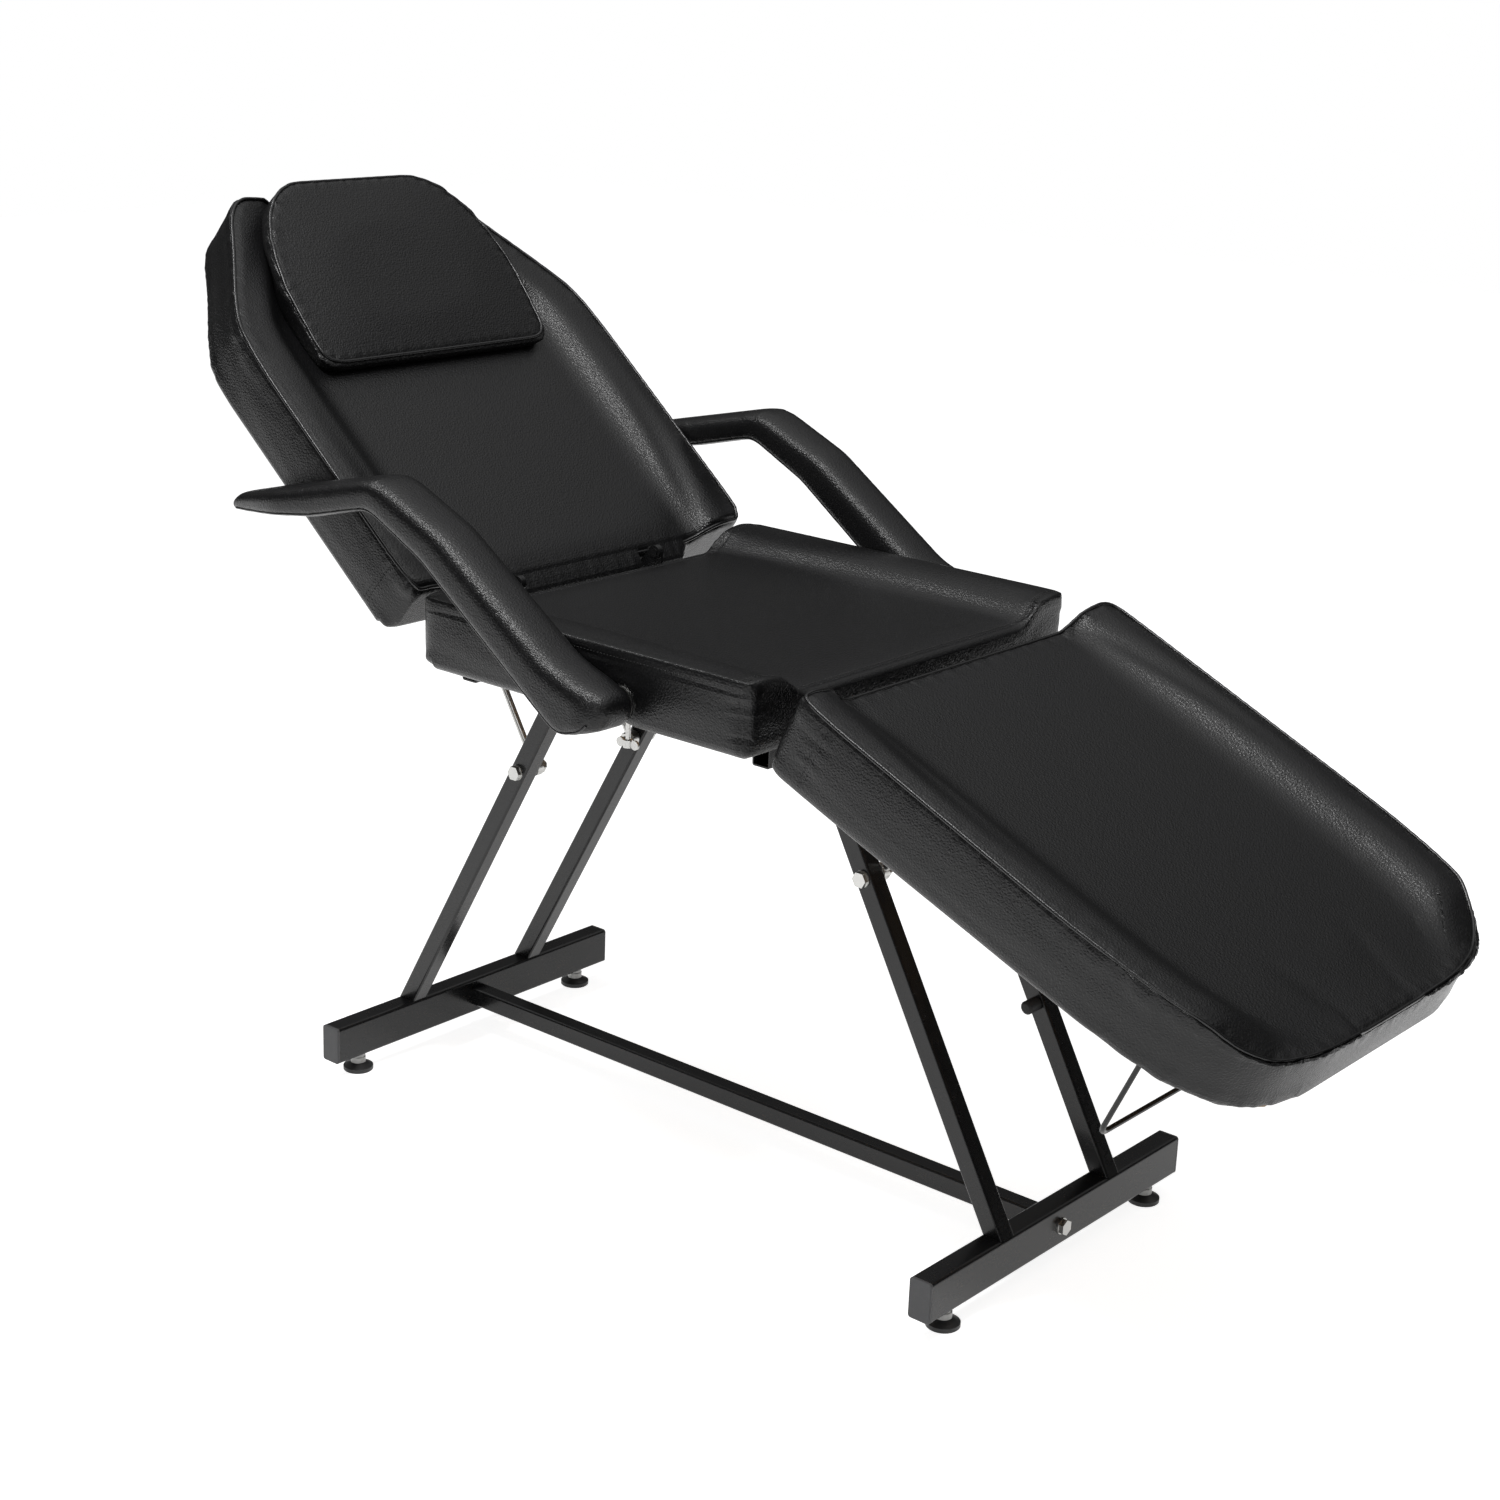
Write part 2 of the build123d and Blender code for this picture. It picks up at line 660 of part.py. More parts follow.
def stay(length):
    """U-shaped rod with an eye at the foot of each arm, standing along its own length."""
    half = stay_half
    neck = stay_eye_radius - stay_rod_radius / 2
    path = FilletPolyline(
        (0, -half, neck), (0, -half, length), (0, half, length), (0, half, neck), radius=stay_bend_radius,
    )
    profile = Plane(origin=(0, -half, neck), z_dir=(0, 0, 1)) * Circle(stay_rod_radius)
    body = sweep(profile, path)
    for _, side in sides:
        low = side * half - stay_eye_width / 2
        eye = along_y(rod(stay_eye_radius, stay_eye_width), 0, low, 0)
        body += eye
        bore = rod(bolt_radius + running_play, stay_eye_width + 2 * cut_over)
        body -= along_y(bore, 0, low - cut_over, 0)
    return body


def peg():
    """Rounded rubber-capped peg on the inner flank of the far front leg."""
    body = rod(peg_radius, peg_length)
    body = chamfer(body.edges().group_by(Axis.Z)[-1], peg_round)
    x = foot_spacing + (peg_height - foot_top) * front_slope
    return along_y(body, x, leg_inner, peg_height, -1)


def wire_rail():
    """Wire rail below the leg rest, with a small round foot at each end."""
    low = leg_rest_underside - wire_drop
    top = leg_rest_underside
    half = wire_half
    path = FilletPolyline(
        (wire_place, -half, top), (wire_place, -half, low), (wire_place, half, low), (wire_place, half, top),
        radius=wire_bend_radius,
    )
    profile = Plane(origin=(wire_place, -half, top), z_dir=(0, 0, -1)) * Circle(wire_radius)
    body = sweep(profile, path)
    for _, side in sides:
        foot_disc = rod(wire_foot_radius, wire_foot_depth)
        body += Pos(wire_place, side * half, top - wire_foot_depth) * foot_disc
    return body


def pillow_section(z, pull):
    """Outline of the headrest at one height: straight heel, rounded crown."""
    front = -pillow_front - pull
    back = -pillow_front - pillow_length + pull
    half = pillow_half - pull
    outline = FilletPolyline(
        (front, half), (back, half), (back, -half), (front, -half),
        radius=[pillow_heel_round, pillow_corner_round - pull, pillow_corner_round - pull, pillow_heel_round],
        close=True,
    )
    return Pos(0, 0, z) * make_face(outline)


def pillow():
    """Wedge-shaped headrest pillow that lies in the backrest's hollow, over its bolsters."""
    low = back_underside + cushion_depth - sunk_depth + pillow_gap
    high = low + pillow_height
    r = pillow_edge_round
    levels = ((low, r / 2), (low + r, 0), ((low + high) / 2, -pillow_swell), (high - r, 0))
    levels += ((high - r * (1 - cos(radians(60))), r * (1 - sin(radians(60)))), (high, r))
    body = loft([pillow_section(z, pull) for z, pull in levels], ruled=True)
    tilt = degrees(atan2(pillow_height - pillow_heel_height, pillow_length))
    room = pillow_length + pillow_height
    above = Rot(0, tilt, 0) * block(-room, pillow_height, -pillow_half - room, pillow_half + room, 0, room)
    body -= Pos(-pillow_front, 0, low + pillow_heel_height) * above
    bed = cushion(-back_hinge_to_cushion, back_length, -1, back_underside, back_outline_shares)
    return body - Pos(0, 0, pillow_gap) * bed


def stay_values(pivot, hinge, crossbar, ratio, rest_angle, facing):
    """A stay's length and resting angle, from its pivot and its crossbar's place under the section."""
    turn = radians(rest_angle)
    x = hinge[0] + crossbar[0] * cos(turn) + crossbar[1] * sin(turn)
    z = hinge[1] - crossbar[0] * sin(turn) + crossbar[1] * cos(turn)
    run = (facing * (pivot[0] - x), z - pivot[1])
    return pivot, hinge, hypot(*run), degrees(atan2(run[1], run[0])), ratio, rest_angle, facing


back_crossbar = (-back_crossbar_reach, back_underside - back_crossbar_drop)
leg_crossbar = (leg_crossbar_reach, leg_rest_underside - leg_crossbar_drop)
back_stay_values = stay_values(rear_pivot, back_hinge, back_crossbar, back_stay_ratio, back_rest_angle, 1)
leg_stay_values = stay_values(front_pivot, leg_hinge, leg_crossbar, leg_stay_ratio, leg_rest_angle, -1)
pieces = {}


def add_base():
    """Feet, beam, legs and what is bolted to them."""
    for name, x, outward in (("rear", 0, -1), ("front", foot_spacing, 1)):
        pieces[f"foot_{name}"] = Pos(x, 0, 0) * foot()
        head = Pos(x + outward * foot_width / 2, 0, foot_middle) * Rot(0, -90 * outward, 0) * beam_bolt()
        pieces[f"beam_bolt_{name}"] = head
        for side_name, side in sides:
            cap = along_y(foot_cap(), x, side * foot_length / 2, foot_middle, side)
            pieces[f"foot_cap_{name}_{side_name}"] = cap
            place = Pos(x, side * leveller_half, 0)
            pieces[f"leveller_{name}_{side_name}"] = place * leveller()
            pieces[f"leg_{name}_{side_name}"] = leg(name == "rear", side)
            pivot = rear_pivot if name == "rear" else front_pivot
            pieces[f"leg_bolt_{name}_{side_name}"] = leg_bolt(pivot, side)
    pieces["beam"] = beam()


def add_seat():
    """Seat frame, board, cushion and the pieces fixed to them."""
    middle = seat_frame_top - rail_size / 2
    rear_cross = seat_rear + seat_cross_inset + rail_size / 2
    front_cross = seat_front - front_cross_inset - rail_size / 2
    half = cushion_half_width - seat_cross_margin
    pieces["seat_cross_rear"] = rail_along_y(rear_cross, -half, half, middle)
    pieces["seat_cross_front"] = rail_along_y(front_cross, -half, half, middle)
    pieces["seat_board"] = seat_board()
    pieces["seat_cushion"] = seat_cushion()
    pieces["peg"] = peg()
    for name, side in sides:
        start = rear_cross + rail_size / 2
        end = front_cross - rail_size / 2
        pieces[f"seat_rail_{name}"] = rail_along_x(start, end, side * leg_half, middle)
        pieces[f"arm_socket_{name}"] = arm_socket(side)
        pieces[f"arm_pad_{name}"] = arm_pad(side)
        pieces[f"arm_bar_{name}"] = arm_bar(side)
        pieces[f"wing_screw_{name}"] = wing_screw(side)
        pieces[f"back_hinge_{name}"] = back_hinge_plate(side)
        pieces[f"leg_hinge_{name}"] = leg_hinge_plate(side)


def add_backrest():
    """Backrest, its headrest and its stay, turned up to the resting angle."""
    turned = Pos(back_hinge[0], 0, back_hinge[1]) * Rot(0, back_rest_angle, 0)
    start = -back_hinge_to_cushion
    panel = board(start, back_length, -1, back_underside, back_outline_shares)
    padding = cushion(start, back_length, -1, back_underside, back_outline_shares)
    pieces["back_board"] = turned * panel
    pieces["back_cushion"] = turned * (padding - panel)
    cross_x = back_cross_end_margin - back_end
    cross = rail_along_y(cross_x, -leg_inner, leg_inner, back_underside - rail_size / 2)
    pieces["back_cross"] = turned * cross
    pieces["headrest"] = turned * pillow()
    for name, side in sides:
        pieces[f"back_rail_{name}"] = turned * back_rail(side)
        plate = sector(back_stay_values, back_low_angle, back_high_angle, back_underside, side)
        pieces[f"back_sector_{name}"] = turned * plate
    length, angle = back_stay_values[2:4]
    placed = Pos(rear_pivot[0], 0, rear_pivot[1]) * Rot(0, angle - 90, 0)
    pieces["back_stay"] = placed * stay(length)


def add_leg_rest():
    """Leg rest and its stay, turned down to the resting angle."""
    turned = Pos(leg_hinge[0], 0, leg_hinge[1]) * Rot(0, leg_rest_angle, 0)
    start = -leg_rest_behind_hinge
    panel = board(start, leg_rest_length, 1, leg_rest_underside, leg_rest_outline_shares)
    padding = cushion(start, leg_rest_length, 1, leg_rest_underside, leg_rest_outline_shares)
    pieces["leg_rest_board"] = turned * panel
    pieces["leg_rest_cushion"] = turned * (padding - panel)
    cross_x = leg_rest_end - leg_rest_cross_end_margin
    cross = rail_along_y(cross_x, -leg_inner, leg_inner, leg_rest_underside - rail_size / 2)
    pieces["leg_rest_cross"] = turned * cross
    pieces["wire_rail"] = turned * wire_rail()
    for name, side in sides:
        pieces[f"leg_rest_rail_{name}"] = turned * leg_rest_rail(side)
        plate = sector(leg_stay_values, leg_rest_high_angle, leg_rest_low_angle, leg_rest_underside, side)
        pieces[f"leg_rest_sector_{name}"] = turned * plate
    length, angle = leg_stay_values[2:4]
    placed = Pos(front_pivot[0], 0, front_pivot[1]) * Rot(0, 90 - angle, 0)
    pieces["leg_rest_stay"] = placed * stay(length)


add_base()
add_seat()
add_backrest()
add_leg_rest()

boxes = [shape.bounding_box() for shape in pieces.values()]
shift = -(min(box.min.X for box in boxes) + max(box.max.X for box in boxes)) / 2
os.makedirs("parts", exist_ok=True)
for name, shape in pieces.items():
    export_step(Pos(shift, 0, 0) * shape, f"parts/{name}.step")
places = {
    "back hinge": back_hinge, "leg-rest hinge": leg_hinge, "rear pivot": rear_pivot,
    "front pivot": front_pivot, "armrest bar": (arm_bar_x, socket_middle),
}
print(f"{len(pieces)} pieces, all shifted by {shift:.4f} mm along X")
for name, (x, z) in places.items():
    print(f"{name} at x {x + shift:.4f}, z {z:.4f}")
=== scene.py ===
# %% [markdown]
# # Dressing a three-section tattoo chair
# The metalwork comes ready from the CAD part, in metres and in its place. What is left for Blender
# is what a workshop adds last: the stuffed vinyl covers with their seams, and the finish of every
# surface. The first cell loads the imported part, and nothing in it is moved afterwards.

# %% Load the part
import json
import math

import bmesh
import bpy
import numpy as np
from mathutils import Matrix, Vector
from mathutils import noise
from mathutils.bvhtree import BVHTree
from mathutils.kdtree import KDTree


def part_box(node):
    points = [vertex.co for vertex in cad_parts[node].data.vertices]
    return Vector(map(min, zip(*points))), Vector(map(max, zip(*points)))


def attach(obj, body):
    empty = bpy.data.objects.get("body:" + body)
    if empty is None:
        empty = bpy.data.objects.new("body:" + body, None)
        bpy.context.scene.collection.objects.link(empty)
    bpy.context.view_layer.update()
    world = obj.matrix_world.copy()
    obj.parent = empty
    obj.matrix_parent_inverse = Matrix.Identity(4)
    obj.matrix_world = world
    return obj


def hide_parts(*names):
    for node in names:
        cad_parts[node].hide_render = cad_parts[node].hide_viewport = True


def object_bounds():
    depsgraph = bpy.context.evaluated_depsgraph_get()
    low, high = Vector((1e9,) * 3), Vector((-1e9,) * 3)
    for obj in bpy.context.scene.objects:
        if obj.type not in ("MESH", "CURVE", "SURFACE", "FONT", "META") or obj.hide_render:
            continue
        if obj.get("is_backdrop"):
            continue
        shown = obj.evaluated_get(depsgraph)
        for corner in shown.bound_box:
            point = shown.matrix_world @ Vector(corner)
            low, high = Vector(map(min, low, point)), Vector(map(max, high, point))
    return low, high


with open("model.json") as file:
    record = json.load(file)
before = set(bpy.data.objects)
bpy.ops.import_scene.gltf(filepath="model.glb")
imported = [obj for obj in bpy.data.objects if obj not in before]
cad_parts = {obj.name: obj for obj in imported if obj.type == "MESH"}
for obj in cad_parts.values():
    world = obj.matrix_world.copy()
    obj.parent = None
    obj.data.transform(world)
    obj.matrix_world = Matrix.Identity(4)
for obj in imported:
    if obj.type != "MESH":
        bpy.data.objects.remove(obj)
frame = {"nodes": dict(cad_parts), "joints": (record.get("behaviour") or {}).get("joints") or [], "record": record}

nodes = frame["nodes"]
cad_low, cad_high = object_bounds()
print("CAD box", [round(v, 4) for v in cad_high - cad_low])

# %% [markdown]
# ## Camera
# A product picture fixes one viewing angle, and every shape is judged from there. The camera's place
# was solved from straight edges of the base and the cushions, so it is written here as plain numbers.
# Its lens is long, because a picture taken from further off bends the proportions less.

# %% Camera
camera_data = bpy.data.cameras.new("camera")
camera_data.lens = 62.93
camera_data.sensor_width = 36
camera_data.clip_end = 60
camera = bpy.data.objects.new("camera", camera_data)
camera.location = (1.927368, -2.3798, 1.4954)
camera.rotation_euler = [math.radians(angle) for angle in (72.4309, -2.1198, 40.2298)]
bpy.context.scene.collection.objects.link(camera)
bpy.context.scene.camera = camera
bpy.context.scene.view_settings.view_transform = "Standard"
print("camera at", tuple(round(v, 3) for v in camera.location))

# %% [markdown]
# ## Small helpers for nodes
# Materials are trees of nodes. Four short helpers keep the later cells readable: one adds a node and
# fills its sockets, one joins sockets, and two start a node group and put it into a material.
# Everything else is Blender's own naming.

# %% Node helpers
def add_node(tree, kind, place, inputs=None, **settings):
    """Adds a node at a place on the sheet, with its settings and the values of its sockets."""
    made = tree.nodes.new(kind)
    made.location = place
    for name, value in settings.items():
        setattr(made, name, value)
    for name, value in (inputs or {}).items():
        made.inputs[name].default_value = value
    return made


def join(tree, *wires):
    """Joins sockets. A wire is a node, its output, the next node and its input."""
    for source, output, target, socket in wires:
        tree.links.new(source.outputs[output], target.inputs[socket])


def new_group(name, inputs, outputs):
    """Starts a node group with named number, colour or vector sockets, and gives its two end nodes."""
    tree = bpy.data.node_groups.new(name, "ShaderNodeTree")
    kinds = {"value": "NodeSocketFloat", "colour": "NodeSocketColor", "vector": "NodeSocketVector"}
    for socket, (kind, start) in inputs.items():
        made = tree.interface.new_socket(socket, in_out="INPUT", socket_type=kinds[kind])
        if start is not None:
            made.default_value = start
    for socket, kind in outputs.items():
        tree.interface.new_socket(socket, in_out="OUTPUT", socket_type=kinds[kind])
    return tree, add_node(tree, "NodeGroupInput", (-900, 0)), add_node(tree, "NodeGroupOutput", (700, 0))


def place_group(tree, group, place, inputs=None):
    """Puts a node group into a material with its own values."""
    made = add_node(tree, "ShaderNodeGroup", place)
    made.node_tree = group
    for name, value in (inputs or {}).items():
        made.inputs[name].default_value = value
    return made


print("node helpers ready")

# %% [markdown]
# ## Studio
# The object stands on a plain pale floor under soft lamps. A studio hangs long strips of light over
# such a piece, whose reflections draw a bright line along each bolster, and keeps the low horizon
# dark, so that black vinyl still reads as black. So reflections see a world graded by height, while
# the camera sees pure white, and the lamps stay near a level where a colour renders as it is written.

# %% Floor
floor_half_width = 9
floor_white = 0.86
floor_form = bmesh.new()
bmesh.ops.create_grid(floor_form, x_segments=1, y_segments=1, size=floor_half_width)
floor_mesh = bpy.data.meshes.new("floor")
floor_form.to_mesh(floor_mesh)
floor_form.free()
floor = bpy.data.objects.new("floor", floor_mesh)
bpy.context.scene.collection.objects.link(floor)
floor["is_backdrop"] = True

floor_paint = bpy.data.materials.new("floor_paint")
floor_paint.use_nodes = True
tree = floor_paint.node_tree
tree.nodes.clear()
matt = add_node(tree, "ShaderNodeBsdfDiffuse", (-200, 100), {"Color": (floor_white,) * 3 + (1,)})
glow = add_node(tree, "ShaderNodeEmission", (-200, -60), {"Color": (1, 1, 1, 1), "Strength": floor_white})
seen = add_node(tree, "ShaderNodeLightPath", (-700, -60))
shown = add_node(tree, "ShaderNodeMath", (-480, -60), operation="MAXIMUM")
through = add_node(tree, "ShaderNodeMath", (-340, -200), operation="MAXIMUM")
lit = add_node(tree, "ShaderNodeMixShader", (20, -60))
both = add_node(tree, "ShaderNodeAddShader", (220, 60))
ground = add_node(tree, "ShaderNodeOutputMaterial", (420, 60))
dark = add_node(tree, "ShaderNodeEmission", (-200, -240), {"Color": (0, 0, 0, 1), "Strength": 0})
join(
    tree,
    (seen, "Is Camera Ray", shown, 0), (seen, "Is Glossy Ray", shown, 1),
    (shown, 0, through, 0), (seen, "Is Transmission Ray", through, 1),
    (through, 0, lit, 0), (dark, 0, lit, 1),
    (glow, 0, lit, 2), (matt, 0, both, 0),
    (lit, 0, both, 1), (both, 0, ground, 0),
)
floor_mesh.materials.append(floor_paint)
print("floor laid")

# %% World
dark_below, white_above = 0.42, 0.95
lowest_light, fill_share = 0.05, 0.45
world = bpy.data.worlds.new("studio")
bpy.context.scene.world = world
world.use_nodes = True
tree = world.node_tree
tree.nodes.clear()
seen = add_node(tree, "ShaderNodeLightPath", (-900, 200))
heading = add_node(tree, "ShaderNodeTexCoord", (-900, -200))
parts = add_node(tree, "ShaderNodeSeparateXYZ", (-700, -200))
rising = add_node(
    tree, "ShaderNodeMapRange", (-500, -200),
    {"From Min": dark_below, "From Max": white_above, "To Min": lowest_light, "To Max": 1.0},
)
fill = add_node(tree, "ShaderNodeMath", (-300, -200), {1: fill_share}, operation="MULTIPLY")
clear = add_node(tree, "ShaderNodeMath", (-500, 200), operation="MAXIMUM")
shine = add_node(tree, "ShaderNodeMix", (-100, -60), {"Factor": 0.0})
final = add_node(tree, "ShaderNodeMix", (100, 60), {"Factor": 0.0, "B": 1.0})
sky = add_node(tree, "ShaderNodeBackground", (300, 0), {"Color": (1, 1, 1, 1)})
out = add_node(tree, "ShaderNodeOutputWorld", (500, 0))
join(
    tree,
    (heading, "Generated", parts, 0), (parts, "Z", rising, "Value"),
    (rising, 0, fill, 0), (seen, "Is Camera Ray", clear, 0),
    (seen, "Is Transmission Ray", clear, 1), (seen, "Is Glossy Ray", shine, "Factor"),
    (fill, 0, shine, "A"), (rising, 0, shine, "B"),
    (clear, 0, final, "Factor"), (shine, 0, final, "A"),
    (final, 0, sky, "Strength"), (sky, 0, out, 0),
)
print("world ready")


# %% Lamps
def softbox(name, place, aim, width, depth, power):
    """A rectangular area lamp that points from its place to an aim."""
    data = bpy.data.lights.new(name, "AREA")
    data.shape = "RECTANGLE"
    data.size = width
    data.size_y = depth
    data.energy = power
    lamp = bpy.data.objects.new(name, data)
    lamp.location = place
    lamp.rotation_euler = (Vector(aim) - Vector(place)).to_track_quat("-Z", "Y").to_euler()
    bpy.context.scene.collection.objects.link(lamp)
    return lamp


lamps = [
    softbox("bolster_strip", (0.15, -1.08, 3.0), (0.0, 0.25, 0.8), 1.7, 0.28, 50),
    softbox("head_strip", (-1.75, -0.65, 3.0), (0.0, 0.25, 0.7), 0.9, 0.30, 16),
    softbox("overhead_softbox", (0.3, 0.1, 3.2), (0.1, 0.0, 0.7), 1.3, 1.6, 10),
    softbox("front_softbox", (1.4, -3.4, 2.0), (0.1, 0, 0.6), 1.2, 1.0, 14),
]
print(len(lamps), "lamps")

# %% [markdown]
# ## Shared surface effects
# Vinyl, paint, metal and rubber all carry the same few marks: a grain pressed or sprayed into the
# surface, dust that settles on what faces up, and rubbed patches. Each is a node group with named
# inputs and is placed in a material with that material's own values. A picture of leather would be
# quicker, but it repeats and has one scale, while a procedural grain stays sharp from any distance.

# %% Grain group
grain_group, start, end = new_group(
    "pressed_grain",
    {
        "Vector": ("vector", None), "Size": ("value", 600.0), "Crease": ("value", 0.5),
        "Cloudiness": ("value", 5.0),
    },
    {"Height": "value", "Tone": "value"},
)
warp = add_node(grain_group, "ShaderNodeTexNoise", (-680, 120), {"Scale": 90.0, "Detail": 2.0})
warped = add_node(grain_group, "ShaderNodeVectorMath", (-460, 60), {"Scale": 0.0012}, operation="SCALE")
moved = add_node(grain_group, "ShaderNodeVectorMath", (-300, 0), operation="ADD")
cells = add_node(grain_group, "ShaderNodeTexVoronoi", (-120, 60), feature="DISTANCE_TO_EDGE")
domes = add_node(grain_group, "ShaderNodeMapRange", (60, 60), {"From Max": 0.32})
fine = add_node(grain_group, "ShaderNodeTexNoise", (-120, -180), {"Detail": 3.0, "Roughness": 0.6})
sum_height = add_node(grain_group, "ShaderNodeMath", (360, 60), operation="MULTIPLY_ADD")
clouds = add_node(grain_group, "ShaderNodeTexNoise", (-120, -420), {"Detail": 4.0, "Roughness": 0.55})
join(
    grain_group,
    (start, "Vector", warp, "Vector"), (warp, "Color", warped, 0),
    (warped, 0, moved, 0), (start, "Vector", moved, 1),
    (moved, 0, cells, "Vector"), (start, "Size", cells, "Scale"),
    (cells, "Distance", domes, "Value"), (start, "Vector", fine, "Vector"),
    (start, "Size", fine, "Scale"), (domes, 0, sum_height, 0),
    (start, "Crease", sum_height, 1), (fine, 0, sum_height, 2),
    (start, "Vector", clouds, "Vector"), (start, "Cloudiness", clouds, "Scale"),
    (sum_height, 0, end, "Height"), (clouds, 0, end, "Tone"),
)
print("group", grain_group.name)

# %% Dust group
dust_group, start, end = new_group(
    "settled_dust",
    {"Vector": ("vector", None), "Amount": ("value", 0.2), "Patchiness": ("value", 9.0)},
    {"Mask": "value"},
)
facing = add_node(dust_group, "ShaderNodeNewGeometry", (-700, 200))
upward = add_node(dust_group, "ShaderNodeSeparateXYZ", (-520, 200))
level = add_node(dust_group, "ShaderNodeMapRange", (-340, 200), {"From Min": 0.35, "From Max": 1.0})
patches = add_node(dust_group, "ShaderNodeTexNoise", (-520, -100), {"Detail": 5.0, "Roughness": 0.65})
spots = add_node(dust_group, "ShaderNodeMapRange", (-340, -100), {"From Min": 0.42, "From Max": 0.72})
settled = add_node(dust_group, "ShaderNodeMath", (-120, 60), operation="MULTIPLY")
share = add_node(dust_group, "ShaderNodeMath", (80, 60), operation="MULTIPLY")
join(
    dust_group,
    (facing, "Normal", upward, 0), (upward, "Z", level, "Value"),
    (start, "Vector", patches, "Vector"), (start, "Patchiness", patches, "Scale"),
    (patches, 0, spots, "Value"), (level, 0, settled, 0),
    (spots, 0, settled, 1), (settled, 0, share, 0),
    (start, "Amount", share, 1), (share, 0, end, "Mask"),
)
print("group", dust_group.name)

# %% Scuff group
scuff_group, start, end = new_group(
    "rubbed_scuffs",
    {
        "Vector": ("vector", None), "Amount": ("value", 0.3), "Size": ("value", 60.0),
        "Stretch": ("vector", (1.0, 1.0, 1.0)),
    },
    {"Mask": "value"},
)
drawn = add_node(scuff_group, "ShaderNodeVectorMath", (-620, 60), operation="MULTIPLY")
streaks = add_node(scuff_group, "ShaderNodeTexNoise", (-420, 60), {"Detail": 6.0, "Roughness": 0.7})
marks = add_node(scuff_group, "ShaderNodeMapRange", (-200, 60), {"From Min": 0.5, "From Max": 0.78})
weight = add_node(scuff_group, "ShaderNodeMath", (20, 60), operation="MULTIPLY")
join(
    scuff_group,
    (start, "Vector", drawn, 0), (start, "Stretch", drawn, 1),
    (drawn, 0, streaks, "Vector"), (start, "Size", streaks, "Scale"),
    (streaks, 0, marks, "Value"), (marks, 0, weight, 0),
    (start, "Amount", weight, 1), (weight, 0, end, "Mask"),
)
print("group", scuff_group.name)


# %% [markdown]
# ## Finishes
# Each finish is one Principled shader. What is the same all over, such as how strongly it mirrors, is
# typed on the shader's own socket. What changes over the surface comes from the groups: grain into
# the bump, dust and scuffs into colour and roughness. One helper builds that common arrangement and
# the cells after it give each finish its numbers, so that they can be compared side by side.

# %% Finish helper
def finish_material(
    name, colour, light, roughness, rough_change, grain, dust, scuff, bump,
    metallic=0.0, specular=0.5, coat=0.0, coat_roughness=0.1, sheen=0.0,
):
    """A material with grain, dust and scuffs. colour is the base, light the rubbed or dusty tone."""
    material = bpy.data.materials.new(name)
    material.use_nodes = True
    tree = material.node_tree
    tree.nodes.clear()
    place = add_node(tree, "ShaderNodeTexCoord", (-1300, 0))
    grain_values = dict(zip(("Size", "Crease", "Cloudiness"), grain))
    dust_values = dict(zip(("Amount", "Patchiness"), dust))
    scuff_values = dict(zip(("Amount", "Size", "Stretch"), scuff))
    grained = place_group(tree, grain_group, (-1050, 200), grain_values)
    dusty = place_group(tree, dust_group, (-1050, -60), dust_values)
    rubbed = place_group(tree, scuff_group, (-1050, -300), scuff_values)
    for group in (grained, dusty, rubbed):
        join(tree, (place, "Object", group, "Vector"))
    marks = add_node(tree, "ShaderNodeMath", (-820, -160), operation="MAXIMUM")
    tone = add_node(tree, "ShaderNodeMath", (-820, 60), {1: 0.35}, operation="MULTIPLY")
    blend = add_node(tree, "ShaderNodeMath", (-640, -40), operation="ADD", use_clamp=True)
    paint = add_node(tree, "ShaderNodeMix", (-420, 160), data_type="RGBA")
    paint.inputs[6].default_value = (*colour, 1)
    paint.inputs[7].default_value = (*light, 1)
    rough_values = {"To Min": roughness, "To Max": roughness + rough_change}
    rough = add_node(tree, "ShaderNodeMapRange", (-420, -100), rough_values)
    relief = add_node(tree, "ShaderNodeBump", (-420, -360), {"Strength": bump[0], "Distance": bump[1]})
    shader = add_node(tree, "ShaderNodeBsdfPrincipled", (-120, 100), {
        "Metallic": metallic, "Specular IOR Level": specular, "Coat Weight": coat,
        "Coat Roughness": coat_roughness, "Sheen Weight": sheen, "Sheen Roughness": 0.4,
    })
    out = add_node(tree, "ShaderNodeOutputMaterial", (220, 100))
    join(
        tree,
        (dusty, "Mask", marks, 0), (rubbed, "Mask", marks, 1),
        (grained, "Tone", tone, 0), (marks, 0, blend, 0),
        (tone, 0, blend, 1), (blend, 0, paint, "Factor"),
        (blend, 0, rough, "Value"), (grained, "Height", relief, "Height"),
        (paint, 2, shader, "Base Color"), (rough, 0, shader, "Roughness"),
        (relief, 0, shader, "Normal"), (shader, 0, out, 0),
    )
    return material


print("finish helper ready")

